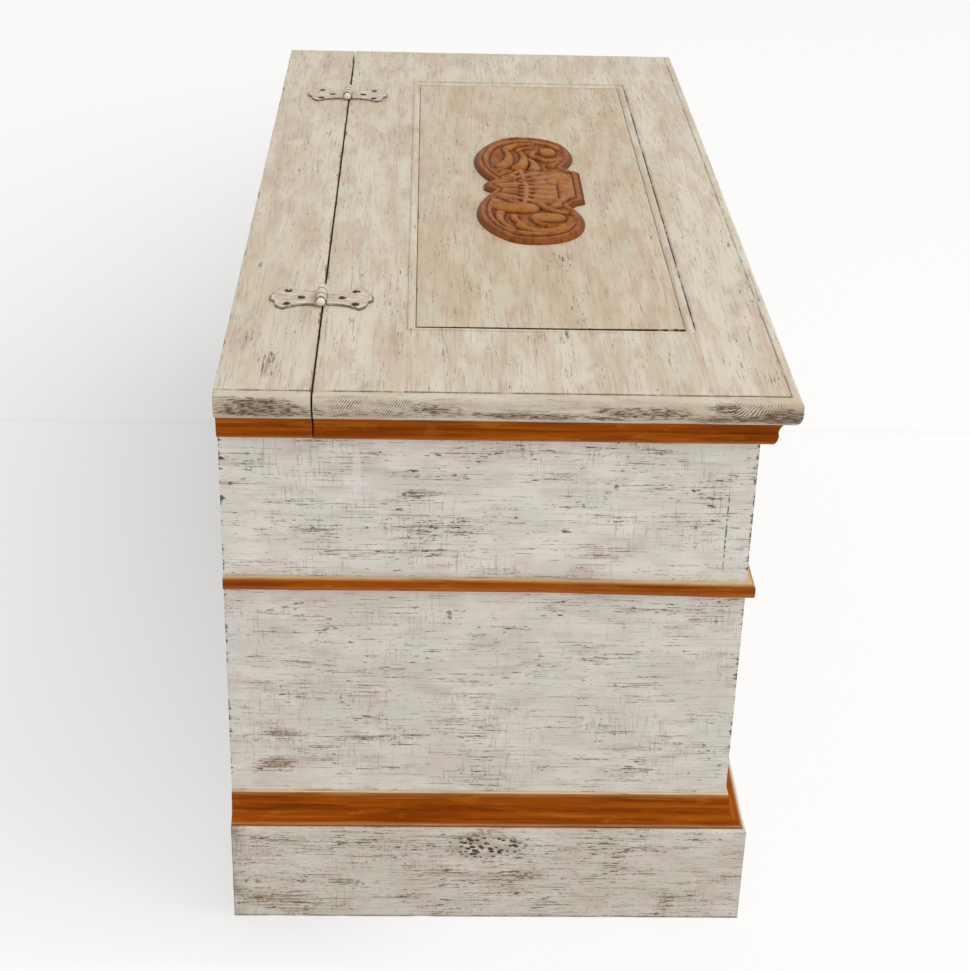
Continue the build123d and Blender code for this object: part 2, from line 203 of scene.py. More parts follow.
sideWash = {
    "pale": "#E9E5DE", "warm": "#DDD7CE", "rosy": "#DACCC7", "mint": "#DBDED2",
    "smoke": "#C1B6AA", "stain": "#7B6147", "dark": "#44311F", "dirt": "#8C7458",
    "hatch": "#7D6344", "edge": "#33251C", "tone": (62, 30), "streak": 0.45, "spread": 6.0, "base": 0.15,
    "rows": (38, 1.0), "ticks": (3.6, 2.0), "fineFrom": (0.732, 0.84), "fine": 0.78,
    "boldFrom": (0.785, 0.845), "bold": 0.92, "crossing": 0.32, "wear": 0.9, "rough": 0.6,
    "blots": [
        *onFace(0, -488, 26,
                (74, 437, 34, 8, 1.9), (58, 406, 66, 22, 0.9), (156, 397, 38, 24, 0.9),
                (19, 474, 28, 8, 1.2), (-86, 378, 44, 4, 2.3), (-53, 403, 7, 4, 2.6),
                (-94, 446, 3.4, 4, 3.0), (-98, 462, 2.6, 4, 2.6), (-102, 475, 2.2, 4, 2.4),
                (-175, 427, 22, 54, 0.45), (211, 470, 28, 15, 1.0), (152, 302, 20, 9, 1.4),
                (213, 274, 14, 4, 2.4), (197, 195, 28, 8, 2.2), (200, 160, 27, 13, 1.9),
                (108, 188, 46, 6, 1.5), (21, 198, 34, 28, 1.0), (-82, 271, 32, 14, 1.0),
                (-130, 165, 12, 5, 2.5), (-121, 154, 36, 10, 1.6), (-135, 326, 54, 5, 1.5),
                (-183, 213, 28, 8, 1.5), (45, 319, 4, 7, 2.4)),
        *onFace(0, -507, 14,
                (180, 88, 44, 4, 1.9), (-160, 17, 15, 14, 1.6), (192, 17, 46, 16, 1.1),
                (0, 50, 120, 5, 0.8), (20, 50, 300, 90, 0.55)),
        *onFace(1, -212, 20, (60, 300, 160, 40, 0.8), (-250, 180, 120, 18, 1.3), (310, 430, 90, 22, 1.2))]}
# Marks found once: on the near end, at X -488, on the plinth, at X -507, and a knot in the front.
pecks = {"colour": "#33231A", "halo": "#A08B74", "centre": (-507, 8, 82), "half": (14, 50, 18), "size": 3.2}
rust = {"colour": "#8A5228", "size": 6,
        "at": [*onFace(0, -507, 14, (223, 41, 17, 4), (215, 21, 16, 7)),
               *onFace(0, -488, 20, (196, 161, 24, 6))]}
knots = {"colour": "#57463A", "size": 7, "speck": 6,
         "at": [*onFace(0, -488, 20, (135, 231, 9.5, 9.5)), *onFace(1, -212, 20, (180, 250, 12, 9))]}
joint = {"colour": "#3A2D26", "size": 8,
         "at": [((-488, -190, 407), (6, 1.0, 58)),
               *onFace(0, -488, 9, (-211, 464, 4, 20), (-211.5, 416, 1.8, 36))]}
brushed = {"centre": (-488, 125, 459), "half": (26, 4.5, 34)}
# broad tints: colour, centre, half sizes, inner share, strength; the last is painted shade on the end board
# behind the cornice's gap
tintsAndShade = [("#A39684", (-488, -20, 235), (14, 420, 150), 0.6, 0.12),
         ("#A08B6C", (-507, -20, 45), (30, 420, 90), 0.6, 0.2),
         ("#2E2118", (-488, 160.3, 504), (8, 5, 17), 0.85, 1.0)]


underWood = "#C79F6B", "#9A6D3D"  # pine inside and underneath: pale wood and its growth lines


def pineUnder(tree, place, pale, dark):
    # plain pine: growth lines 5 mm wide drawn out along the grain, over a soft tone
    base = coat(tree, colour(pale), dark, (grains(tree, place, 260, 30, 3.1), 0.3, 0.7), 0.4)
    return coat(tree, base, dark, (grains(tree, place, 220, 5, 8.3, detail=4), 0.42, 0.62), 0.55)


def whitewash(name, look):
    # paint is built up coat by coat over the warm ground: films, dirt, strokes, hairs, rubbed arrises, glaze
    # and painted shade
    material, tree = newMaterial(name)
    place, wear, glazeAndShade, ends, bare = pieceMarks(tree)
    soil = put(tree, "Attribute", pick=2, attribute_name="soil")
    rings = put(tree, "Attribute", pick=2, attribute_name="rings")
    long, wide = look["tone"]
    paint = films(tree, colour(look["warm"]), place, look,
                  ("pale", long, wide, 1.3, 0.38, 0.62),
                  ("rosy", long / 2, wide / 2, 5.9, 0.48, 0.66, 0.65),
                  ("mint", long / 2, wide, 17.9, 0.5, 0.64, 0.65),
                  ("smoke", 46, 17, 23.3, 0.54, 0.74, 0.45),
                  ("pale", 44, 2.6, 7.7, 0.5, 0.72, look["streak"]),
                  ("smoke", 50, 2.2, 2.2, 0.5, 0.74, look["streak"]))

    # crowd: wide noise, the blots and the noses' own dirt, above 0 where strokes are thick
    crowd = addUp(tree, look["base"] - look["spread"] / 2, (grains(tree, place, 70, 20, 9.1), look["spread"]),
                  (soil, 0.4), *((blot(tree, centre, half), strength)
                                 for centre, half, strength in look["blots"]))

    # brown grime and short dark flecks where the piece carries dirt
    grime = grains(tree, place, 9, 4, 12.9, detail=4, rough=0.7)
    paint = coat(tree, paint, look["dirt"], (soil, 0.3, 2.2), (grime, 0.28, 0.6), 0.7)
    flecks = addUp(tree, 0.0, (grains(tree, place, 7, 1.1, 27.1, detail=2), 1.0), (soil, 0.036))
    paint = coat(tree, paint, look["dark"], (flecks, 0.54, 0.65), (soil, 0.3, 1.4), 0.85)

    # fine rows and bold strokes, both broken into ticks of a few millimetres
    ticks = grains(tree, place, *look["ticks"], 31.3, detail=1)
    fine = addUp(tree, 0.0, (grains(tree, place, *look["rows"], 4.4, rough=0.6), 1.0), (ticks, 0.27),
                 (crowd, 0.06))
    bold = addUp(tree, 0.0, (grains(tree, place, 14, 1.8, 6.1, detail=4, rough=0.62), 1.0),
                 (ticks, 0.24), (crowd, 0.06))
    fine = layer(tree, (fine, *look["fineFrom"]))
    bold = layer(tree, (bold, *look["boldFrom"]))
    paint = coat(tree, paint, look["stain"], fine, look["fine"])
    paint = coat(tree, paint, look["dark"], bold, look["bold"])
    # brush hairs across the grain, in patches
    hairs = addUp(tree, 0.0, (grains(tree, place, 1.4, 17, 3.3, detail=2), 1.0), (crowd, 0.04))
    paint = coat(tree, paint, look["stain"], (hairs, 0.56, 0.7),
                 (grains(tree, place, 58, 58, 41.0, detail=1), 0.5, 0.62), look["crossing"])
    paint = coat(tree, paint, look["smoke"], (crowd, 0.9, 3.4), 0.4)

    # rubbed arrises: the wear mark broken up by noise
    rubbed = addUp(tree, 0.0, (wear, 0.42), (grains(tree, place, 30, 6, 8.8, detail=4, rough=0.7), 1.0))
    rubbed = layer(tree, (rubbed, 0.88, 0.97), (wear, 0.0, 0.2), look["wear"])
    paint = coat(tree, paint, look["edge"], rubbed)
    # dark glaze, and painted shade in the gaps and under the noses where the piece's mark carries it
    paint = coat(tree, paint, look["dark"], glazeAndShade, (grains(tree, place, 24, 24, 13.7), 0.3, 0.6))

    # end grain: growth rings at the distances carried by the piece, brown with darker spots
    turn = addUp(tree, 0.0, (rings, 2 * math.pi / mm), (grains(tree, place, 20, 9, 19.2), 4.4 * math.pi))
    wave = put(tree, "Math", {0: turn}, operation="SINE")
    wave = addUp(tree, 0.0, (wave, 1.0), (grains(tree, place, 8, 4, 15.2), 3.4))
    paint = coat(tree, paint, look["hatch"], (wave, 1.7, 2.5), ends, 0.8)
    paint = coat(tree, paint, look["dark"], (wave, 2.35, 2.9), ends, 0.9)
    bareWood = pineUnder(tree, place, *underWood)
    surface = put(tree, "Mix", {0: bare, 6: paint, 7: bareWood}, pick=2, data_type="RGBA")
    close(tree, surface, look["rough"], addUp(tree, 1.0, (bold, -0.6), (fine, -0.4)), 0.2,
          **{"Specular IOR Level": 0.3})
    return material


def localMarks(material):
    # marks found only on the near end and the plinth, laid over the finished paint
    tree = material.node_tree
    shader = next(node for node in tree.nodes if node.type == "BSDF_PRINCIPLED")
    paint = shader.inputs["Base Color"].links[0].from_socket
    spot = put(tree, "TexCoord", pick=3)
    # the last tint paints the shade behind the cornice's gap
    for tint, centre, half, inner, strength in tintsAndShade:
        paint = coat(tree, paint, tint, blot(tree, centre, half, inner), strength)
    rusty = grains(tree, spot, rust["size"], rust["size"], 5.5)
    for centre, half in rust["at"]:
        paint = coat(tree, paint, rust["colour"], blot(tree, centre, half), (rusty, 0.42, 0.62), 0.8)
    # pecks: short cells of a Voronoi pattern, dark inside, in a tan halo
    flat = put(tree, "Mapping", {"Vector": spot, "Scale": (1.0, 0.55, 1.0)})
    pits = put(tree, "TexVoronoi", {"Vector": flat, "Scale": 1 / (pecks["size"] * mm)})
    cluster = blot(tree, pecks["centre"], pecks["half"], 0.5)
    pits = addUp(tree, 0.0, (pits, 1.0), (grains(tree, spot, 12, 12, 2.7), -0.9))
    paint = coat(tree, paint, pecks["halo"], (grains(tree, spot, 16, 16, 4.7), 0.4, 0.6), cluster, 0.5)
    paint = coat(tree, paint, pecks["colour"], (pits, -0.02, -0.16), cluster, 0.95)
    # knots: a broken dark ring
    for centre, half in knots["at"]:
        disc = addUp(tree, -0.65, (blot(tree, centre, half, 0.0), 1.0),
                     (grains(tree, spot, knots["size"], knots["size"], 1.2), 1.3))
        paint = coat(tree, paint, knots["colour"], (disc, 0.05, 0.25), (disc, 0.5, 0.3),
                     blot(tree, centre, half, 0.8),
                     (grains(tree, spot, knots["speck"], knots["speck"], 9.3), 0.47, 0.58), 0.8)
    # a pale brush mark, then the corner joint where it has opened and the worn front arris
    paint = coat(tree, paint, sideWash["pale"], blot(tree, brushed["centre"], brushed["half"], 0.5), 0.6)
    for centre, half in joint["at"]:
        paint = coat(tree, paint, joint["colour"], (blot(tree, centre, half, 0.1), 0.0, 0.5),
                     (grains(tree, spot, joint["size"], joint["size"], 3.9, detail=4), 0.42, 0.52), 0.85)
    tree.links.new(paint, shader.inputs["Base Color"])


def sideFinish():
    material = whitewash("limewashed_pine_sides", sideWash)
    localMarks(material)
    return material


# Pine moulding, orange-brown stain, dull: streaks along the run, cream where the edge is rubbed.
stain = {"main": "#A14E08", "deep": "#803804", "light": "#BC701E", "line": "#642706",
         "under": "#E8D2A2", "rough": 0.6}


def stainedPine(name, look):
    # streaks drawn out along the run, then the rubbed edge, and the glaze and painted shadow where the piece
    # carries them
    material, tree = newMaterial(name)
    place, wear, glazeAndShade, _, bare = pieceMarks(tree)
    base = films(tree, colour(look["main"]), place, look,
                 ("deep", 120, 9, 2.9, 0.42, 0.64, 0.8), ("light", 90, 3.4, 6.6, 0.5, 0.72, 0.6),
                 ("line", 70, 2.4, 9.4, 0.58, 0.76, 0.6), ("light", 30, 9, 12.6, 0.56, 0.75, 0.6))
    base = coat(tree, base, look["under"], wear, (grains(tree, place, 46, 2.5, 4.1), 0.2, 0.5), 0.9)
    # glaze line colour, which also paints the shadow under the nose on the cornice's top rows
    base = coat(tree, base, look["line"], glazeAndShade, (grains(tree, place, 30, 4, 1.7), 0.25, 0.6))
    bareWood = pineUnder(tree, place, *underWood)
    surface = put(tree, "Mix", {0: bare, 6: base, 7: bareWood}, pick=2, data_type="RGBA")
    streaks = layer(tree, (grains(tree, place, 120, 1.6, 6.6), 0.4, 0.7))
    close(tree, surface, look["rough"], streaks, 0.12, **{"Specular IOR Level": 0.03})
    return material


def barePine(name):
    # planed pine with no finish: dry and pale
    material, tree = newMaterial(name)
    place = pieceMarks(tree)[0]
    streaks = layer(tree, (grains(tree, place, 120, 1.6, 6.6), 0.4, 0.7))
    close(tree, pineUnder(tree, place, "#D0AC79", "#A67C4B"), 0.7, streaks, 0.1)
    return material


# Carved pine, stained like the mouldings and rubbed: brown hollows, orange ground, tan high places.
carving = {"main": "#9C5B27", "deep": "#814312", "pale": "#B07A50", "hollow": "#552809",
           "honey": "#A9691A", "wall": "#6E3F20", "rough": 0.5}


def carvedPine(name, look):
    # here the marks are high places, hollows and honey, and the fourth is the wall round the edge
    material, tree = newMaterial(name)
    place, high, hollow, honey, wall = pieceMarks(tree)
    base = coat(tree, colour(look["main"]), look["deep"], (grains(tree, place, 26, 7, 2.1), 0.42, 0.62))
    base = coat(tree, base, look["pale"], high, (grains(tree, place, 22, 14, 5.1), 0.3, 0.55), 0.85)
    base = coat(tree, base, look["honey"], honey, (grains(tree, place, 14, 8, 6.3), 0.3, 0.6))
    base = coat(tree, base, look["wall"], wall, 0.85)
    base = coat(tree, base, look["hollow"], hollow, 0.85)
    veins = layer(tree, (grains(tree, place, 16, 1.2, 7.9), 0.35, 0.7))
    close(tree, base, look["rough"], veins, 0.15, **{"Specular IOR Level": 0.08})
    return material


# Wrought iron brushed over with the same wash: brown glaze and painted shade in the corners and underneath,
# paint rubbed on top.
hingePaint = {"pale": "#DDD2C1", "warm": "#CBBAA5", "smoke": "#A08C74", "dark": "#3F2E20",
              "tip": "#F3EADB"}


def paintedIron(name, look):
    # films of paint a few millimetres long, then tips rubbed pale, and glaze with painted shade in the
    # corners
    material, tree = newMaterial(name)
    place, wear, glazeAndShade = pieceMarks(tree)[:3]
    paint = films(tree, colour(look["warm"]), place, look,
                  ("pale", 14, 10, 1.3, 0.4, 0.65), ("smoke", 9, 3, 4.6, 0.46, 0.7, 0.7))
    paint = coat(tree, paint, look["tip"], wear, 0.7)
    paint = coat(tree, paint, look["dark"], glazeAndShade, (grains(tree, place, 4, 2, 8.8), 0.15, 0.6))
    close(tree, paint, 0.5, layer(tree, (grains(tree, place, 5, 2.5, 2.4), 0.3, 0.7)), 0.2,
          **{"Specular IOR Level": 0.3})
    return material


def screwSteel(name):
    # steel screw heads brushed over with the wash and gone dark: dull dark scale, some paint left
    material, tree = newMaterial(name)
    place = put(tree, "TexCoord", pick=3)
    scale = grains(tree, place, 2.5, 2.5, 1.9)
    base = coat(tree, colour("#58432F"), "#31241A", (scale, 0.4, 0.6))
    base = coat(tree, base, "#C9B799", (grains(tree, place, 9, 5, 7.3), 0.56, 0.62), 0.75)
    close(tree, base, 0.6, layer(tree, (scale, 0.4, 0.6)), 0.1, **{"Specular IOR Level": 0.2})
    return material


# every finish with the slot of the record that it belongs to
finishes = {
    "panelWash": (whitewash("limewashed_pine_panel", {**topWash, **panelChange}), "whitewashed_board"),
    "topWash": (whitewash("limewashed_pine_top", topWash), "whitewashed_board"),
    "sideWash": (sideFinish(), "whitewashed_board"),
    "stain": (stainedPine("stained_pine_moulding", stain), "stained_moulding"),
    "pine": (barePine("bare_pine"), "bare_pine"),
    "carving": (carvedPine("carved_stained_pine", carving), "carved_wood"),
    "hinge": (paintedIron("washed_iron_hinge", hingePaint), "painted_hinge"),
    "screw": (screwSteel("darkened_steel_screw"), "hinge_screw")}
print("materials made")


def waves(points, size, seed, layers=9):
    # sum of plane waves of about one wavelength in random directions, kept within -1 to 1
    rng = np.random.default_rng(seed)
    total = np.zeros(points.shape[:-1])
    for _ in range(layers):
        direction = rng.normal(size=3)
        direction /= np.linalg.norm(direction)
        turn = 2 * math.pi / (size * mm * rng.uniform(0.7, 1.5))
        total += np.sin(points @ direction * turn + rng.uniform(0, 2 * math.pi))
    return np.clip(total / math.sqrt(2 * layers), -1, 1)


arrisSteps = np.array([0.0, 0.27, 0.58, 1.0, 2.2])  # grid lines beside an arris, in arris radii


def gridLines(low, high, step, arris):
    # positions from low to high: close together at both arrises, about one step apart between
    bend = arris * arrisSteps
    count = max(2, int(round((high - low - 2 * bend[-1]) / step)) + 1)
    inner = np.linspace(low + bend[-1], high - bend[-1], count)
    return np.unique(np.concatenate([low + bend, inner, high - bend]))


def blockSkin(us, vs, ws):
    # the six sides of a block of grid lines, each a grid of quads facing outwards;
    # gives the (u, v, w) of every corner, the quads, and the side each quad is on (-u +u -v +v -w +w)
    index = np.arange(len(us) * len(vs) * len(ws)).reshape(len(us), len(vs), len(ws))
    sides = [index[0].T, index[-1], index[:, 0], index[:, -1].T, index[:, :, 0].T, index[:, :, -1]]
    quads = [np.stack([g[:-1, :-1], g[1:, :-1], g[1:, 1:], g[:-1, 1:]], -1).reshape(-1, 4)
             for g in sides]
    side = np.concatenate([np.full(len(q), i) for i, q in enumerate(quads)])
    used, quads = np.unique(np.concatenate(quads), return_inverse=True)
    grid = np.stack(np.meshgrid(us, vs, ws, indexing="ij"), -1).reshape(-1, 3)[used]
    return grid, quads.reshape(-1, 4), side


def corners(node):
    # lowest and highest corner of a node's box, in metres
    return tuple(np.array(corner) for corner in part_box(node))


def boxGrid(low, high, step, arris):
    # skin of a box whose grid lines crowd along every arris
    return blockSkin(*(gridLines(low[i], high[i], step, arris) for i in range(3)))


def roundedBox(low, high, step, bend):
    # block whose outer points lie on spheres round the nearest inner point
    low, high = np.array(low, float), np.array(high, float)
    grid, quads, side = boxGrid(low, high, step, bend)
    inner = np.clip(grid, low + bend, high - bend)
    away = grid - inner
    points = inner + away / np.linalg.norm(away, axis=1, keepdims=True) * bend
    return points, quads, side, grid


def onSides(side, *wanted):
    # 1 at every corner of the quads on the wanted sides of a block, else 0
    return np.repeat(np.isin(side, wanted).astype(float)[:, None], 4, axis=1)


def joinParts(parts):
    # several closed skins as one: their points follow each other, and values go to the corners
    count, points, quads, values = 0, [], [], {}
    for partPoints, partQuads, partValues in parts:
        points.append(partPoints)
        quads.append(partQuads + count)
        count += len(partPoints)
        for key, value in partValues.items():
            value = value if value.shape[:2] == partQuads.shape else value[partQuads]
            values.setdefault(key, []).append(value)
    return (np.concatenate(points), np.concatenate(quads),
            {key: np.concatenate(value) for key, value in values.items()})


def makePiece(name, points, quads, values, body, node, finish):
    # mesh from grids: equal points become one, and a quad that lost a corner becomes a triangle;
    # values are given for each point or for each corner of each quad
    _, first, back = np.unique(np.round(points / 1e-6).astype(np.int64), axis=0,
                               return_index=True, return_inverse=True)
    corner = {key: value if value.shape[:2] == quads.shape else value[quads]
              for key, value in values.items()}
    points, quads = points[first], back.reshape(-1)[quads]
    if signedVolume(points, quads) < 0:
        quads = quads[:, ::-1]
        corner = {key: value[:, ::-1] for key, value in corner.items()}
    keep = quads != np.roll(quads, -1, axis=1)
    good = (keep.sum(1) >= 3) & (quads[:, 0] != quads[:, 2]) & (quads[:, 1] != quads[:, 3])
    quads, keep = quads[good], keep[good]
    starts = np.concatenate([[0], np.cumsum(keep.sum(1))[:-1]])
    mesh = bpy.data.meshes.new(name)
    mesh.vertices.add(len(points))
    mesh.vertices.foreach_set("co", points.astype(np.float32).ravel())
    mesh.loops.add(int(keep.sum()))
    mesh.loops.foreach_set("vertex_index", quads[keep].astype(np.int32))
    mesh.polygons.add(len(quads))
    mesh.polygons.foreach_set("loop_start", starts.astype(np.int32))
    mesh.update(calc_edges=True)
    mesh.validate()
    mesh.shade_smooth()
    mesh.set_sharp_from_angle(angle=math.radians(38))
    for key, value in corner.items():
        kept = value[good][keep].astype(np.float32)
        kind, field = ("FLOAT_VECTOR", "vector") if kept.ndim == 2 else ("FLOAT", "value")
        mesh.attributes.new(key, kind, "CORNER").data.foreach_set(field, kept.ravel())
    material, slot = finishes[finish]
    mesh.materials.append(material)
    piece = addObject(name, mesh)
    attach(piece, body)
    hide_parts(node)


def signedVolume(points, quads):
    # six times the volume: a . (b x c) summed over both triangles of every quad
    a, b, c, d = (points[quads[:, i]] for i in range(4))
    return (np.einsum("ij,ij->i", a, np.cross(b, c)).sum()
            + np.einsum("ij,ij->i", a, np.cross(c, d)).sum())


def woodPlace(points, grain, seed):
    # place in the wood: along the grain first, moved by the seed so that no two boards match
    order = [grain] + [axis for axis in range(3) if axis != grain]
    return points[..., order] + np.array([0.37, 0.23, 0.11]) * (1 + seed % 17)


def edgeWear(points, low, high, reach=8 * mm):
    # 1 at an edge of the box, falling to 0 at reach from it
    near = np.sort(np.minimum(points - low, high - points), axis=-1)
    return np.clip(1 - near[..., 1] / reach, 0, 1)


boardWear = {"arris": 0.6, "chip": 1.0, "chipSize": 26, "wave": 0.25, "waveSize": 190, "step": 11,
             "reach": 7.0, "joint": -0.19, "jointHalf": 12}  # no wear along the corner joint


def board(name, node, grain, seed, finish="sideWash", bareSides=(), flush=None, endSeeds=()):
    # rounded box: a point outside the inner box is moved onto the sphere round its nearest inner
    # point; long waves hollow the faces, and short ones bite chips from the arrises; a flush side
    # is glued to the next board and keeps square arrises, and endSeeds carry that board's finish on
    look = boardWear
    low, high = corners(node)
    bend = look["arris"] * mm
    grid, quads, side = boxGrid(low, high, look["step"] * mm, bend)
    lowInner, highInner = low + bend, high - bend
    if flush == 2:
        lowInner[1] = low[1]
    if flush == 3:
        highInner[1] = high[1]
    inner = np.clip(grid, lowInner, highInner)
    away = grid - inner
    length = np.maximum(np.linalg.norm(away, axis=1, keepdims=True), 1e-9)
    normal = away / length
    sharp = np.clip((length[:, 0] / bend - 1) / 0.41, 0, 1)
    chip = np.clip(waves(grid, look["chipSize"], seed) - 0.35, 0, 1) ** 1.5
    dent = chip * sharp * look["chip"] * mm
    dent += (0.5 + 0.5 * waves(grid, look["waveSize"], seed + 50)) * look["wave"] * mm * (1 - sharp)
    points = inner + normal * (bend - dent[:, None])
    if flush:
        glued = (low if flush == 2 else high)[1]
        points[np.abs(grid[:, 1] - glued) < 1e-6, 1] = glued
    worn = np.abs(grid[:, 1] - look["joint"]) > look["jointHalf"] * mm
    wear = edgeWear(grid, low, high, look["reach"] * mm) * worn
    place = woodPlace(points, grain, seed)[quads]
    for end, endSeed in enumerate(endSeeds):
        place[side == end] = woodPlace(points, 1, endSeed)[quads][side == end]
    values = {"grain": place, "marks": np.stack([wear, 0 * wear, 0 * wear], 1),
              "bare": onSides(side, *bareSides)}
    makePiece(name, points, quads, values, "chest", node, finish)


# sides of a block: 0 -X, 1 +X, 2 -Y, 3 +Y, 4 -Z, 5 +Z
board("frontBoard", "front_panel", 0, 11, bareSides=(3, 4), flush=3, endSeeds=(13, 14))
board("backBoard", "back_panel", 0, 12, bareSides=(2, 4))
board("nearEndBoard", "left_end_panel", 1, 13, bareSides=(1, 4), flush=2)
board("farEndBoard", "right_end_panel", 1, 14, bareSides=(0, 4), flush=2)
inside = [("bottomBoard", "bottom_board", 0), ("railBatten", "back_rail_batten", 0),
          ("frontCleat", "bottom_cleat_front", 0), ("backCleat", "bottom_cleat_back", 0),
          ("nearCleat", "bottom_cleat_left", 1), ("farCleat", "bottom_cleat_right", 1)]
for number, (name, node, grain) in enumerate(inside):
    board(name, node, grain, 20 + number, "pine")
print("carcass made")


def glueBlock(name, node, cornerX, cornerY, seed):
    # three-cornered prism: the sloping side joins the far ends of the two legs
    low, high = corners(node)
    us = np.linspace(0, 1, 8)
    ws = gridLines(low[2], high[2], 9 * mm, 0.6 * mm)
    grid, quads, _ = blockSkin(us, us, ws)
    legX, legY = (high[:2] - low[:2]) * (-cornerX, -cornerY)
    u, v = grid[:, 0], grid[:, 1] * (1 - grid[:, 0])
    x = (low[0] if cornerX < 0 else high[0]) + legX * u
    y = (low[1] if cornerY < 0 else high[1]) + legY * v
    points = np.stack([x, y, grid[:, 2]], 1)
    values = {"grain": woodPlace(points, 2, seed), "marks": np.zeros(points.shape),
              "bare": np.ones(len(points))}
    makePiece(name, points, quads, values, "chest", node, "pine")


for number, (place, side) in enumerate((p, s) for p in ("front", "back") for s in ("left", "right")):
    end = "near" if side == "left" else "far"
    glueBlock(f"{end}{place.capitalize()}GlueBlock", f"glue_block_{place}_{side}",
              -1 if side == "left" else 1, -1 if place == "front" else 1, 40 + number)
print("glue blocks made")


def arcPoints(start, end, bow, count):
    # circle arc from start to end that bows out to the right of its way by bow
    start, end = np.array(start, float), np.array(end, float)
    chord = end - start
    half = np.linalg.norm(chord) / 2
    radius = (half * half + bow * bow) / (2 * bow)
    side = np.array([chord[1], -chord[0]]) / (2 * half)
    centre = (start + end) / 2 - side * (radius - bow)
    first = math.atan2(*(start - centre)[::-1])
    sweep = 2 * math.asin(half / abs(radius)) * (1 if bow > 0 else -1)
    angles = first + np.linspace(0, sweep, count)
    return centre + abs(radius) * np.stack([np.cos(angles), np.sin(angles)], 1)


# Each section goes up from the foot: reach from the wall, height, and how worn it is there (mm).
# dark: how strong the glaze is at the numbered points, and on the cornice's top rows a painted shadow under
# the nose; topWear: wear on the top face by the wall.
sections = {
    "plinth": {"points": [(18.4, 0, 1.0), (19, 0.7, 1.0), (19, 1.8, 0.3), (19, 2.5, 0), (19, 30, 0),
                          (19, 60, 0), (19, 88, 0), (19, 97, 0), (19, 100.0, 0.3), (18.7, 101.0, 0.5),
                          (17.9, 101.55, 0.5), (17.0, 101.7, 0.3)],
               "soil": 0.55, "dark": {0: 0.9, 1: 0.9, 2: 0.5}, "endDark": 0.8, "finish": "sideWash"},
    "base": {"points": [(15.4, 0, 0), (16, 0.5, 0), (16, 1.5, 0.1), (15.6, 2.1, 0.3), (13.2, 3.2, 0),
                        (10.6, 4.4, 0), (8.2, 5.9, 0), (6.2, 7.8, 0), (4.6, 10.2, 0), (3.9, 12.5, 0),
                        (3.4, 18, 0), (2.9, 24, 0), (2.6, 27.9, 0.2), (2.3, 28.6, 1), (1.6, 29.0, 1)],
             "dark": {0: 0.6, 1: 0.6, 8: 0.55, 9: 0.4}, "topWear": 1.0},
    "band": {"points": [(4.8, 0, 0), (6.0, 0.5, 0), (6.8, 1.5, 0.1), (7, 2.9, 0.1), (7, 5.6, 0),
                        (7, 8.4, 0), (6.75, 9.8, 0), (6.0, 10.8, 0.25), (4.8, 11.3, 0.6)],
             "topWear": 0.9},
    "cornice": {"points": [(7.4, 0, 0.3), (8.3, 0.3, 0.3), (9.5, 1.9, 0.1), (10.6, 4.4, 0),
                           (11.3, 7.4, 0), (11.5, 10.1, 0), (11.3, 10.9, 0), (10.95, 11.5, 0),
                           (11.1, 13.8, 0), (11.9, 16.7, 0), (13.1, 19.4, 0), (13.9, 20.9, 0),
                           (14.2, 21.6, 0), (14.2, 22.8, 0)],
                # the cornice's top rows carry painted shadow under the nose of the top
                "dark": {7: 0.5, 11: 0.4, 12: 1.0, 13: 1.0}}}
runShape = {"step": 13, "arris": 0.5, "wave": 0.15, "waveSize": 140, "bite": 1.6, "biteSize": 17,
            "closer": 0.5,  # each cornice length closes up this much behind the gap in the top
            "sag": (3.4, 1.4), "sagAlong": (-0.46, -0.25), "sagAcross": (-0.2, -0.03)}


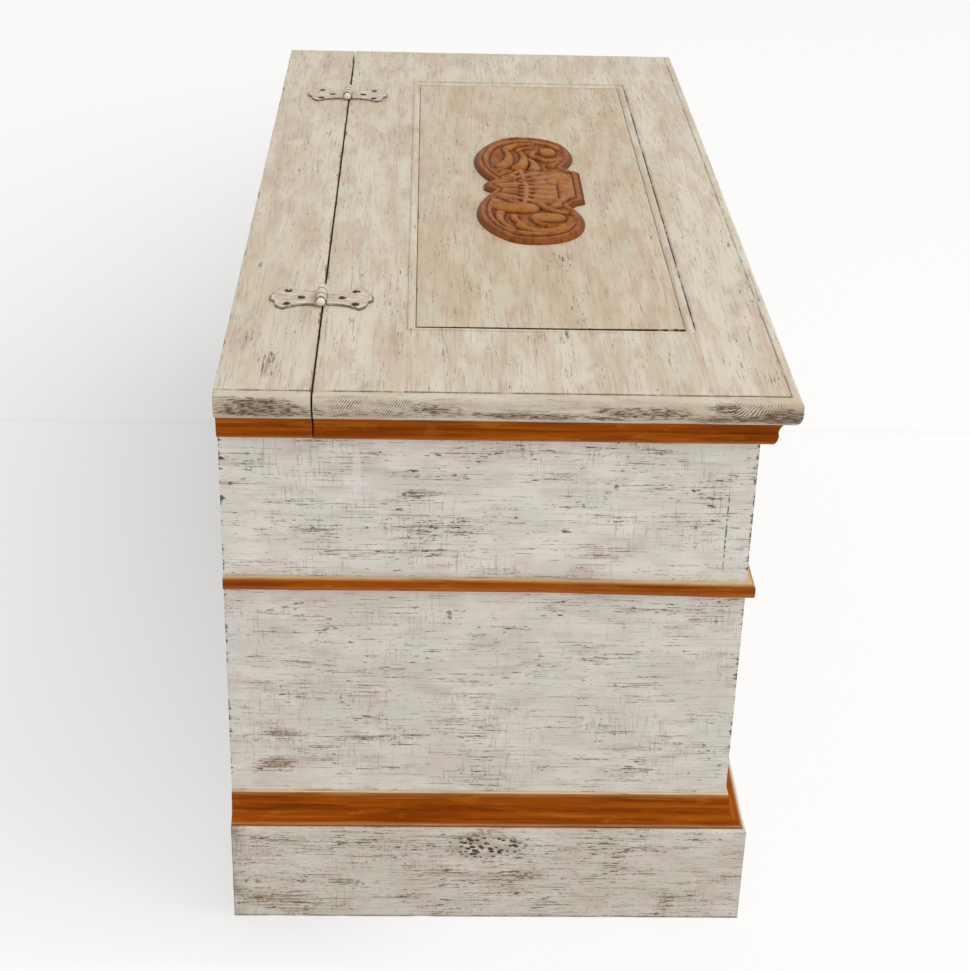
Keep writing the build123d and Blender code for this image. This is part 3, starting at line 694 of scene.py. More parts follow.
def mouldingRun(name, body, node, section, way, seed, mitres=(0, 0)):
    # a section carried along a wall: reach goes outwards, and at a mitred end the run grows by
    # its own reach, so that two runs meet on the corner's diagonal
    look, drawn = runShape, sections[section]
    low, high = corners(node)
    shape = np.array(drawn["points"], float)
    axis, outward = way
    wallAxis = 1 - axis
    wall = high[wallAxis] if outward < 0 else low[wallAxis]
    tall = (high[2] - low[2]) / (shape[-1, 1] * mm)
    spread = (high[wallAxis] - low[wallAxis]) / (shape[:, 0].max() * mm)
    reaches = shape[:, 0] * mm * spread
    heights = low[2] + shape[:, 1] * mm * tall
    full = reaches.max()
    if section == "cornice" and axis == 1:
        low[1] -= look["closer"] * mm * (body == "chest")
        high[1] += look["closer"] * mm * (body == "lid")
    start, end = low[axis] + full * mitres[0], high[axis] - full * mitres[1]
    us = gridLines(start, end, look["step"] * mm, look["arris"] * mm)
    grid, quads, side = blockSkin(us, np.array([0.0, 0.5, 1.0]), np.arange(len(shape), dtype=float))
    row = grid[:, 2].astype(int)
    reach = grid[:, 1] * reaches[row]
    share = (grid[:, 0] - start) / (end - start)
    along = grid[:, 0] - reach * mitres[0] * (1 - share) + reach * mitres[1] * share
    wander = waves(np.stack([along, reach, heights[row]], 1), look["waveSize"], seed)
    outer = grid[:, 1] > 0.9
    reach = reach - outer * look["wave"] * mm * (1 + wander)
    bite = waves(np.stack([along, reach * 0, heights[row] * 0], 1), look["biteSize"], seed + 5)
    reach = reach - outer * shape[row, 2] * np.clip(bite - 0.45, 0, 1) * look["bite"] * mm
    points = np.zeros((len(grid), 3))
    points[:, axis] = along
    points[:, wallAxis] = wall + outward * reach
    points[:, 2] = heights[row]
    if section == "band":
        # the band sits a little low at the near front corner, and its foot lower than its top
        sag = (np.interp(points[:, 0], look["sagAlong"], [1, 0])
               * np.interp(points[:, 1], look["sagAcross"], [1, 0]))
        points[:, 2] -= sag * (look["sag"][0] - look["sag"][1] * shape[row, 1] / shape[-1, 1]) * mm
    toEnd = np.minimum(grid[:, 0] - low[axis], high[axis] - grid[:, 0]) / mm
    onTop = ~outer * (row == len(shape) - 1) * drawn.get("topWear", 0.0)
    # glaze at the section's dark points; on the cornice this is painted shadow under the nose
    dark = np.zeros(len(shape))
    for number, strength in drawn.get("dark", {}).items():
        dark[number] = strength
    ending = drawn.get("endDark", 0.0) * np.clip(1.3 - toEnd / 1.6, 0, 1)
    marks = np.stack([shape[row, 2] * outer + onTop, np.maximum(dark[row], ending) * outer, 0 * row], 1)
    values = {"grain": woodPlace(points, axis, seed), "marks": marks, "bare": onSides(side, 2),
              "soil": np.full(len(points), drawn.get("soil", 0.0))}
    makePiece(name, points, quads, values, body, node, drawn.get("finish", "stain"))


runs = [("plinth", "plinth", "chest", "plinth"), ("baseMoulding", "base", "chest", "base_moulding"),
        ("band", "band", "chest", "band"), ("lidCornice", "cornice", "lid", "lid_cornice")]
walls = [("Near", "left", (1, -1), (1, 0)), ("Far", "right", (1, 1), (1, 0)),
         ("Front", "front", (0, -1), (1, 1))]
for number, (name, section, body, node) in enumerate(runs):
    for turn, (end, side, way, mitres) in enumerate(walls):
        mouldingRun(name + end, body, f"{node}_{side}", section, way, 60 + 4 * number + turn, mitres)
for end, side, way, _ in walls[:2]:
    mouldingRun(f"railCornice{end}", "chest", f"rail_cornice_{side}", "cornice", way, 95 + way[1])
print("mouldings made")


topShape = {"round": 5.5, "underHeight": 13.0, "underReach": 7.7, "endReach": 11.5,
            "quirkAt": 9.6, "quirkDepth": 0.8, "bevel": 8.0, "arris": 0.7, "blend": 22.0, "step": 10,
            "closer": 0.4,  # paint narrows the gap between the rail and the lid on either side
            "edgeWave": 0.7, "edgeWaveSize": 120, "faceWave": 0.3, "faceWaveSize": 150, "noseDeep": 9}
railLow, railHigh = corners("back_rail")
hingeLow = corners("lid_hinge_stile")[0]
frontLow, frontHigh = corners("lid_front_stile")
xNose, yNose = railHigh[0], frontLow[1]
zSeat, zTop = railLow[2], railHigh[2]
bevel = topShape["bevel"] * mm
backShoulder, frontShoulder = hingeLow[1] + bevel, frontHigh[1] - bevel
xRecess = -(corners("lid_left_rail")[1][0] - bevel)

# dirt on the end noses (mm): place across the top, height on the nose, half sizes, strength
noseDirt = [(204, 13, 38, 13, 1.55), (154, 15, 7, 3, 2.4), (62, 15.5, 26, 4.5, 1.9), (-18, 9, 60, 2.5, 1.4),
            (-80, 7.5, 10, 2.5, 2.6), (-112, 14.5, 44, 5, 2.0), (-160, 5, 14, 3, 1.8),
            (-177, 19.5, 13, 3, 1.8), (-190, 8, 32, 5, 1.2), (-226, 8.5, 26, 6.5, 3.4)]
# growth rings on the end noses: centre (Y, Z in m), spacing, then strength at places across the top
noseRings = {"hinge": ((0.46, 0.74), 1.9, [74, 84, 104, 111, 115, 122, 140, 150],
                       [0, 1, 1, 0.2, 0.2, 1, 1, 0]),
             "front": ((-0.176, 0.549), 2.3, [-228, -212, -176, -160], [0.1, 1, 1, 0])}
# the bead round the panel: how far across it (share), and how far below the top there
beadLines = np.array([0.0, 0.04, 0.09, 0.18, 0.3, 0.5, 0.7, 0.85, 1.0])
beadFalls = [0, 0.9, 1.0, 0.25, 0.1, 0.15, 0.5, 1.1, 2.1]
beadGlaze = {"frontStile": 1.5, "hingeStile": 0.25}  # 0.9 on the other members


def noseInset(z, reach):
    # how far the nose lies inside the outline at height z: quarter ellipse below, quarter circle above
    under, bend = topShape["underHeight"] * mm, topShape["round"] * mm
    low = np.clip(1 - (z - zSeat) / under, 0, 1)
    high = np.clip(1 - (zTop - z) / bend, 0, 1)
    return reach * mm * (1 - np.sqrt(1 - low ** 2)) + bend * (1 - np.sqrt(1 - high ** 2))


def noseLines():
    # heights that step evenly round the two curves of the nose
    turn = np.radians(np.linspace(0, 90, 8))
    under, bend = topShape["underHeight"] * mm, topShape["round"] * mm
    return np.unique(np.round(np.concatenate([
        zSeat + under * (1 - np.cos(turn)), zTop - bend * (1 - np.sin(turn))]), 7))


def insetLines(edge, inward):
    # grid lines beside a nosed edge that end up at chosen distances from the outline
    first, blend = topShape["round"], topShape["blend"]
    wanted = np.array([7.2, 8.6, 9.2, 9.6, 10.1, 11.2, 13.5])
    nominal = (wanted - first) / (1 - first / blend)
    return edge + inward * nominal * mm


def topGrid(low, high, kind):
    # block of grid lines, with more of them along the noses, the quirk and the bead
    step, arris = topShape["step"] * mm, topShape["arris"] * mm
    zs = np.unique(np.concatenate([noseLines(), zTop - arris * arrisSteps[1:]]))
    xs = [gridLines(low[0], high[0], step, arris), *(s * (xRecess - bevel * beadLines) for s in (-1, 1))]
    if low[0] < -0.4:
        xs.append(insetLines(low[0], 1))
    if high[0] > 0.4:
        xs.append(insetLines(high[0], -1))
    ys = [gridLines(low[1], high[1], step, arris)]
    if kind == "frontStile":
        ys += [insetLines(low[1], 1), frontShoulder + bevel * beadLines]
    if kind == "hingeStile":
        ys.append(backShoulder - bevel * beadLines)
    lines = [np.concatenate(xs), np.concatenate(ys)]
    for axis, (least, most) in enumerate(zip(low[:2], high[:2])):
        inside = (lines[axis] >= least) & (lines[axis] <= most)
        lines[axis] = np.unique(np.round(lines[axis][inside], 7))
    return blockSkin(*lines, zs)


def noseMarks(x, y, z, fromEdge, kind):
    # dirt that fades to the lip, then distance from the rings' middle and how strong the rings are
    rise = (z - zSeat) / mm
    deep = topShape["noseDeep"] * mm
    atEnd = np.clip(1 - (xNose - np.abs(x)) / deep, 0, 1) ** 0.5
    nosed = np.clip(1 - fromEdge / deep, 0, 1) * np.interp(rise, [1, 3, 21, 25], [0, 1, 1, 0.3])
    dirt = 0.6 + 0.7 * np.interp(rise, [4, 7, 10, 13], [0, 1, 0.7, 0])
    for atY, atRise, halfY, halfRise, strength in noseDirt:
        far = ((y / mm - atY) / halfY) ** 2 + ((rise - atRise) / halfRise) ** 2
        dirt = dirt + atEnd * strength * np.clip(1.6 * (1 - far), 0, 1)
    centre, spacing, spans, strengths = noseRings["front" if kind == "frontStile" else "hinge"]
    radius = np.hypot(y - centre[0], z - centre[1]) / spacing
    rings = np.interp(y / mm, spans, strengths) * np.interp(rise, [6, 9, 22, 25], [0.3, 1, 1, 0.2])
    return dirt * nosed, radius, rings * nosed * atEnd


def topPiece(name, body, node, kind, seed):
    # one member of the top: a block whose nosed edges are drawn in by the inset at their height,
    # with a sunk rim outside the quirk and a bead beside the panel, both mitred
    look = topShape
    low, high = corners(node)
    if kind == "endRail":
        low[1], high[1] = frontShoulder, backShoulder  # without its tenons
    if kind == "backRail":
        low[1] -= look["closer"] * mm
    if kind == "hingeStile":
        high[1] += look["closer"] * mm
    grid, quads, side = topGrid(low, high, kind)
    x, y, z = grid.T.copy()
    onTop = np.clip((z - (zTop - 3 * mm)) / (3 * mm), 0, 1)

    # members end on the diagonal of the bead
    share = np.clip((xRecess - np.abs(x)) / bevel, 0, 1)
    if kind == "endRail":
        part = (y - low[1]) / (high[1] - low[1])
        y = low[1] + bevel * share + part * (high[1] - low[1] - 2 * bevel * share)
    if kind == "hingeStile":
        y = np.where(y < backShoulder, backShoulder - (backShoulder - y) * share, y)
    if kind == "frontStile":
        y = np.where(y > frontShoulder, frontShoulder + (y - frontShoulder) * share, y)

    # edges without a nose or a bead are rounded by quarter circles in the plane of Y and Z
    arris = look["arris"] * mm
    squares = {"backRail": [(low[1], 1), (high[1], -1)], "hingeStile": [(high[1], -1)]}.get(kind, [])
    for edge, inward in squares:
        inner = edge + inward * arris
        dy = np.clip((inner - y) * inward, 0, None)
        dz = np.clip(z - (zTop - arris), 0, None)
        length = np.sqrt(dy ** 2 + dz ** 2)
        scale = np.where((dy > 0) & (dz > 0), arris / np.maximum(length, 1e-9), 1)
        scale = np.minimum(scale, 1)
        y = np.where(dy > 0, inner - inward * dy * scale, y)
        z = np.where(dz > 0, zTop - arris + dz * scale, z)

    # noses, with long waves in plan, and the sunk rim with its quirk
    endInset, frontInset = (noseInset(grid[:, 2], look[reach]) for reach in ("endReach", "underReach"))
    plan = np.stack([x, y, 0 * x], 1)
    ripple = (1 + waves(plan, look["edgeWaveSize"], seed)) * look["edgeWave"] / 2 * mm
    weightX = np.clip(1 - (xNose - np.abs(x)) / (look["blend"] * mm), 0, 1)
    x = x - np.sign(x) * (endInset + ripple) * weightX
    weightY = np.clip(1 - (y - yNose) / (look["blend"] * mm), 0, 1)
    y = y + (frontInset + ripple) * weightY
    fromEdge = np.minimum(xNose - np.abs(x), y - yNose)
    quirk, depth = look["quirkAt"] * mm, look["quirkDepth"] * mm
    rim = np.interp(fromEdge, [quirk - 0.5 * mm, quirk - 0.1 * mm, quirk + 0.5 * mm, quirk + 1.4 * mm],
                    [depth, depth + 0.45 * mm, 0.15 * mm, 0])
    z = z - rim * np.clip((z - zSeat - look["underHeight"] * mm) / (10 * mm), 0, 1)

    # bead round the panel, then the hollows of the face
    toSide = (xRecess - np.abs(x)) / bevel
    toRun = np.minimum(backShoulder - y, y - frontShoulder) / bevel
    if kind == "hingeStile":
        toRun = np.maximum((backShoulder - y) / bevel, -1)
    if kind == "frontStile":
        toRun = (y - frontShoulder) / bevel
    within = np.clip(np.minimum(toSide, toRun), 0, 1)
    z = z - mm * np.interp(within, beadLines, beadFalls) * onTop
    hollow = (1 + waves(plan, look["faceWaveSize"], seed + 3)) / 2
    z = z - onTop * hollow * look["faceWave"] * mm * (fromEdge > 12 * mm)
    points = np.stack([x, y, z], 1)

    wear = np.clip(1 - np.abs(fromEdge - 3 * mm) / (6 * mm), 0, 1) * onTop * 0.8
    for edge, _ in squares:
        wear = np.maximum(wear, onTop * np.clip(1 - np.abs(grid[:, 1] - edge) / (5 * mm), 0, 1))
    gap = {"backRail": low[1], "hingeStile": high[1]}.get(kind, 9.0)
    # painted shade on the walls of the gap between the rail and the lid
    gapShade = 0.2 * (np.abs(grid[:, 1] - gap) < 0.3 * mm) * (z < zTop - 0.8 * mm)
    inQuirk = onTop * np.clip(1 - np.abs(fromEdge - quirk) / (0.9 * mm), 0, 1)
    bead = onTop * np.clip(1.2 - np.abs(within - 0.08) / 0.09, 0, 1) * (within > 0)
    bead = bead * beadGlaze.get(kind, 0.9)
    # painted shade along the underside of the end noses, in their lowest 2.6 mm
    lipShade = 0.8 * np.interp(z - zSeat, [0.0015, 0.0026], [1, 0]) * (fromEdge > 0) * (np.abs(x) > 0.4)
    soil, rings, ends = noseMarks(x, y, z, fromEdge, kind)
    marks = np.stack([wear, np.maximum.reduce([inQuirk, bead, gapShade, lipShade]), ends], 1)
    grain = woodPlace(points, 0, seed)[quads]
    nose = np.isin(side, (0, 1))
    grain[nose] = woodPlace(points, 1, 100)[quads][nose]
    values = {"grain": grain, "marks": marks, "bare": onSides(side, 4), "rings": rings, "soil": soil}
    makePiece(name, points, quads, values, body, node, "topWash")


topPiece("backRail", "chest", "back_rail", "backRail", 101)
topPiece("lidHingeStile", "lid", "lid_hinge_stile", "hingeStile", 102)
topPiece("lidFrontStile", "lid", "lid_front_stile", "frontStile", 103)
topPiece("lidNearRail", "lid", "lid_left_rail", "endRail", 104)
topPiece("lidFarRail", "lid", "lid_right_rail", "endRail", 105)
print("top made")


panelShape = {"nearGap": 4.2, "skew": 1.8, "skewReach": 60, "gap": 0.4, "arris": 1.0, "step": 10,
              "wave": 0.5, "waveSize": 160, "tongue": 8.0, "tongueArris": 0.2, "play": 0.05}


def lidPanel():
    # thin field between the beads, hollowed by long waves; its near edge stands away from the bead,
    # and its tongue below fills the opening
    look = panelShape
    low, high = corners("lid_panel")
    faceX = xRecess - bevel
    tongueLow = np.array([-faceX, frontShoulder + bevel, low[2]]) + look["play"] * mm
    tongueHigh = (np.array([faceX, backShoulder - bevel, low[2] + look["tongue"] * mm])
                  - look["play"] * mm)
    tongue, tongueQuads, tongueSide = boxGrid(tongueLow, tongueHigh, look["step"] * mm,
                                              look["tongueArris"] * mm)
    low = tongueLow + [look["nearGap"] * mm, look["gap"] * mm, 2 * mm]
    high[:2] = tongueHigh[:2] - look["gap"] * mm
    points, quads, side, grid = roundedBox(low, high, look["step"] * mm, look["arris"] * mm)
    toNear = np.clip(1 - (grid[:, 0] - low[0]) / (look["skewReach"] * mm), 0, 1)
    points[:, 0] += look["skew"] * mm * toNear * (high[1] - grid[:, 1]) / (high[1] - low[1])
    swell = (1 + waves(grid * [0.4, 1, 1], look["waveSize"], 7)) / 2 * look["wave"] * mm
    points[:, 2] -= swell * (grid[:, 2] > high[2] - 3 * mm)
    # painted shade of the gaps round the panel, in the glaze mark: heavy on the near edge's wall, light on
    # the other walls, and over the tongue that shows
    marks = np.zeros(quads.shape + (3,))
    marks[..., 0] = (0.8 * edgeWear(grid, low, high, 6 * mm))[quads]
    marks[..., 1] = np.array([3.0, 0.4, 0.2, 0.1, 0.0, 0.0])[side][:, None]
    dark = np.zeros(tongueQuads.shape + (3,))
    dark[..., 1] = 0.55 * onSides(tongueSide, 5)
    field = {"grain": woodPlace(points, 0, 106)[quads], "marks": marks, "bare": np.zeros(quads.shape)}
    below = {"grain": woodPlace(tongue, 0, 106)[tongueQuads], "marks": dark,
             "bare": onSides(tongueSide, 4)}
    makePiece("lidPanel", *joinParts([(points, quads, field), (tongue, tongueQuads, below)]), "lid",
              "lid_panel", "panelWash")


lidPanel()
print("panel made")


# Own shell-and-scroll carving. Plan places are (a, b): a along the length from the middle,
# b towards the front. Heights are above the panel. A stroke is a raised arc: start, end, bow,
# half width at either end, rise, and how much honey shows on it.
carvingShape = {"length": 163.0, "width": 55.5, "edge": 1.2, "rim": 5.0, "rimFrom": 5.0, "rimTo": 8.6,
                "ground": 3.9, "top": 8.3, "middle": -12.0, "halfMiddle": 54.0, "step": 1.15}
carvingStrokes = [
    ((26, -36), (118, -38), 8, 5, 5, 2.5, 0.1), ((118, -38), (122, 36), 24, 5, 4, 2.5, 0.2),
    ((122, 36), (84, 39), 8, 4.5, 3.5, 2.4, 0.1), ((84, 39), (86, 14), 8, 4, 4, 2.8, 0.3),
    ((86, 14), (108, 12), 6, 4, 3, 2.8, 0.3), ((104, 25), (109, 25), 0.1, 9, 9, 3.9, 0.6),
    ((58, -26), (112, -22), -6, 8, 2, 3.2, 0.9), ((54, -9), (102, -5), -5, 8, 2, 3.5, 1.0),
    ((50, 8), (80, 3), -3, 7, 2, 3.2, 0.5), ((117, -19), (133, 10), 6, 6, 2, 3.1, 0.6),
    ((110, -8), (121, 8), 3, 3, 2, 2.6, 0.5), ((60, 26), (72, 40), 3, 5, 3, 2.7, 0.2),
    ((-26, -36), (-118, -39), -8, 5, 5, 2.5, 0.0), ((-118, -39), (-124, 36), -24, 5, 4.5, 2.5, 0.2),
    ((-124, 36), (-84, 41), -7, 4.5, 3.5, 2.4, 0.1), ((-86, -32), (-134, -20), -6, 5, 2, 2.9, 0.2),
    ((-97, -19), (-124, -5), -4, 4.5, 2, 2.9, 0.4), ((-71, -25), (-72, -5), 0.1, 12, 13, 3.9, 0.9),
    ((-100, 9), (-100, 23), 0.1, 12, 10, 4.0, 0.75), ((-122, -14), (-139, 6), -4, 5, 4.5, 3.6, 1.0),
    ((-139, 8), (-124, 29), -5, 4.5, 4, 3.6, 1.0), ((-58, 9), (-86, 34), -5, 5.5, 3, 3.0, 0.4),
    ((-112, 2), (-122, 16), -3, 2.6, 2, 3.0, 0.9),
    ((8, 30), (29, 29), -2, 11, 9, 3.7, 0.9), ((-52, 31), (-66, 22), 2, 8, 5, 2.9, 0.3)]


def carvingOutline():
    # the two edges of the plan as functions of a, for a from 0 to the tip
    length, width = carvingShape["length"], carvingShape["width"]
    crest, tip = (0.5 * length, -width), (length, 0.05 * width)
    lower = np.concatenate([[(0, -0.84 * width), (0.045 * length, -0.84 * width)],
                            arcPoints((0.1 * length, -0.68 * width), crest, 4.2, 20),
                            arcPoints(crest, (0.955 * length, -0.46 * width), 8.0, 20),
                            arcPoints((0.955 * length, -0.46 * width), tip, 3.2, 12)])
    upper = np.concatenate([[(0, width), (0.28 * length, width), (0.315 * length, 0.84 * width)],
                            arcPoints((0.37 * length, 0.73 * width), (0.78 * length, 0.86 * width), -7.0, 20),
                            arcPoints((0.78 * length, 0.86 * width), tip, -9.5, 24)])
    return lower, upper


def stepUp(value, low, high):
    # smooth step: 0 below low, 1 above high
    t = np.clip((value - low) / (high - low), 0, 1)
    return t * t * (3 - 2 * t)


def carvedHeight(a, b, inside):
    # relief in mm over the plan, where honey stain is left bright, and where slots are pierced
    look = carvingShape
    border = look["edge"] + (look["rim"] - look["edge"]) * np.sin(
        np.clip(inside / look["rimFrom"], 0, 1) * math.pi / 2)
    field = stepUp(inside, look["rimTo"], look["rimTo"] + 2.4)
    border = border - 1.5 * np.exp(-((inside - look["rimTo"] - 1.0) / 1.0) ** 2)

    # shell in the middle: fingers spread from the small tab, two rows of slots, then flutes
    turn = np.arctan2(a - look["middle"], b + 62)
    finger = np.abs(np.sin(turn * 7.5))
    crease = np.exp(-(np.sin(turn * 7.5) / 0.22) ** 2)
    fingers = look["ground"] + 0.6 + 2.2 * finger ** 0.6 - 0.9 * np.exp(-(np.sin(turn * 22.5) / 0.3) ** 2)
    flute = np.cos(turn * 33.0)
    flutes = look["ground"] + 1.9 + 0.9 * np.clip(flute + 0.6, 0, 1) ** 0.5 + 0.03 * b
    bow = 0.0016 * (a - look["middle"]) ** 2
    across = b + bow
    shell = np.where(across < -10, fingers, flutes)
    band = np.exp(-((across + 3.4) / 2.6) ** 4)
    shell = shell * (1 - band) + (look["ground"] + 3.7) * band
    slots = np.zeros(a.shape)
    for row, width in ((-9.0, 2.4), (1.8, 2.6)):
        slots = np.maximum(slots, np.exp(-((across - row) / width) ** 4) * stepUp(-flute, 0.0, 0.7))
    shell = shell - 3.6 * slots - 0.8 * crease * (across < -10)
    block = look["ground"] + 2.6 + 0.9 * stepUp(b, 30, 32) - 1.4 * np.exp(-((b - 28) / 1.3) ** 2)
    shell = np.where(b > 28, block, shell)
    inMiddle = stepUp(look["halfMiddle"] - np.abs(a - look["middle"]) - 0.25 * b, 0, 4)
    height = look["ground"] * (1 - inMiddle) + shell * inMiddle
    slots = slots * inMiddle

    # strokes: the highest of the raised arcs, each domed across its width, with shallow veins
    honey = 0.35 * inMiddle * stepUp(b, 24, 30)
    veins = 0.25 * np.abs(np.sin((a + 0.4 * b) / 4.1))
    for start, end, bend, wide, narrow, rise, gold in carvingStrokes:
        line = arcPoints(start, end, bend, 40)
        half = np.linspace(wide, narrow, 40)
        near = np.full(a.shape, 9.0)
        for (lineA, lineB), size in zip(line, half):
            near = np.minimum(near, np.hypot(a - lineA, b - lineB) / size)
        dome = np.sqrt(np.clip(1 - near ** 2, 0, 1))
        moat = 0.7 * np.exp(-((near - 1.12) / 0.12) ** 2)
        raised = look["ground"] + rise * dome - veins * dome
        height = np.where(near < 1, np.maximum(height, raised), height - moat)
        honey = np.maximum(honey, gold * dome)
    height = border * (1 - field) + height * field
    return np.clip(height, 0.8, look["top"]), honey * field, slots * field


def carvedOrnament():
    # grid stretched between the two edges of the plan, raised by the relief at each place
    look = carvingShape
    low, high = corners("carved_emblem")
    centre = (low + high) / 2
    lower, upper = carvingOutline()
    turn = np.linspace(-1, 1, int(2 * look["length"] / look["step"]) + 1)
    us = look["length"] * np.where(np.abs(turn) < 0.8, turn * 0.93,
                                   np.sign(turn) * (1 - (1 - np.abs(turn)) ** 1.35 * 0.256 / 0.2 ** 1.35))
    vs = np.linspace(-1, 1, int(2 * look["width"] / look["step"]) + 1)
    ws = np.array([0.0, 0.5, 1.0])
    grid, quads, side = blockSkin(us, vs, ws)
    a = grid[:, 0]
    lowB = np.interp(np.abs(a), lower[:, 0], lower[:, 1])
    highB = np.interp(np.abs(a), upper[:, 0], upper[:, 1])
    b = lowB + (highB - lowB) * (grid[:, 1] + 1) / 2
    inside = np.full(len(a), 1e9)
    fine = np.concatenate([np.linspace(p, q, 12, endpoint=False) for line in (lower, upper)
                           for p, q in zip(line[:-1], line[1:])])
    for edgeA, edgeB in fine:
        inside = np.minimum(inside, np.hypot(np.abs(a) - edgeA, b - edgeB))
    height, honey, slots = carvedHeight(a, b, inside)
    tool = waves(np.stack([a, b, 0 * a], 1) * mm, 9, 31)
    height = height + 0.25 * tool * stepUp(inside, 2, 6)
    rise = np.where(grid[:, 2] == 1, height, grid[:, 2] * look["edge"] * 0.6)
    shift = 1 - 0.004 * (grid[:, 2] == 1)
    points = np.stack([centre[0] + a * shift * mm, centre[1] - b * shift * mm,
                       low[2] + np.clip(rise, 0, (high[2] - low[2]) / mm) * mm], 1)
    # hollows: how far a place lies below the mean of its neighbours 3 to 4 steps away
    top = np.full((len(us), len(vs)), np.nan)
    iu, iv = np.searchsorted(us, grid[:, 0]), np.searchsorted(vs, grid[:, 1])
    onTop = grid[:, 2] == 1
    top[iu[onTop], iv[onTop]] = height[onTop]
    mean = np.mean([np.roll(top, (i, j), (0, 1)) for i in (-4, -2, 0, 2, 4) for j in (-4, -2, 0, 2, 4)], 0)
    sunk = np.clip((mean - top)[iu, iv] / 1.3, 0, 1)
    marks = np.zeros((len(points), 3))
    marks[:, 0] = np.clip((height - 4.4) / 2.8, 0, 1) * onTop
    marks[:, 1] = np.clip(0.95 * sunk * stepUp(inside, 6, 8) + 0.95 * slots, 0, 1) * onTop
    marks[:, 2] = np.clip(honey, 0, 1) * onTop
    wall = ((1 - stepUp(inside, 2.6, 5.0)) * onTop + (1 - onTop)) * np.interp(a, [-150, -110], [0.35, 1])
    values = {"grain": woodPlace(points, 0, 107), "marks": marks, "bare": np.clip(wall, 0, 1)}
    makePiece("carvedOrnament", points, quads, values, "lid", "carved_emblem", "carving")


carvedOrnament()
print("ornament made")


hingeShape = {"barrel": 4.5, "lift": 4.8, "halfLength": 15.0, "middle": 11.4, "gap": 0.3, "pin": 2.0,
              "bore": 2.2, "neckLength": -1.0, "ball": 3.95, "thick": 2.0, "reach": 46.5, "clear": 5.3,
              "waist": 14.5, "waistEnd": 8.0, "wide": (33.5, 25.0), "shoulder": (41.2, 10.6),
              "notch": (41.9, 8.0), "bows": (3.0, -2.6, -1.8), "step": 0.8,
              "screws": ((18.0, 0.0), (30.5, -15.0), (30.5, 15.0)),
              "dish": 3.8, "dishSlope": 1.05, "dishDeep": 1.75, "wave": 0.12, "waveSize": 22}


def turned(profile, centre, count=28):
    # profile of (distance along X, radius) turned about X; a radius of 0 closes the end
    profile = np.array(profile, float) * mm
    angle = np.arange(count) * 2 * math.pi / count
    points = np.stack([np.repeat(profile[:, 0], count),
                       np.outer(profile[:, 1], np.cos(angle)).ravel(),
                       np.outer(profile[:, 1], np.sin(angle)).ravel()], 1) + centre
    ring = np.arange(count)
    rows = np.arange(len(profile) - 1)[:, None] * count
    quads = np.stack([rows + ring, rows + np.roll(ring, -1), rows + count + np.roll(ring, -1),
                      rows + count + ring], -1).reshape(-1, 4)
    return points, quads


def hingeValues(points, glazeAndShade, wear):
    # iron has no grain of its own, so its place is only the point with X and Y changed over
    return {"grain": points[:, [1, 0, 2]], "marks": np.stack([wear, glazeAndShade, 0 * wear], 1),
            "bare": np.zeros(len(points))}


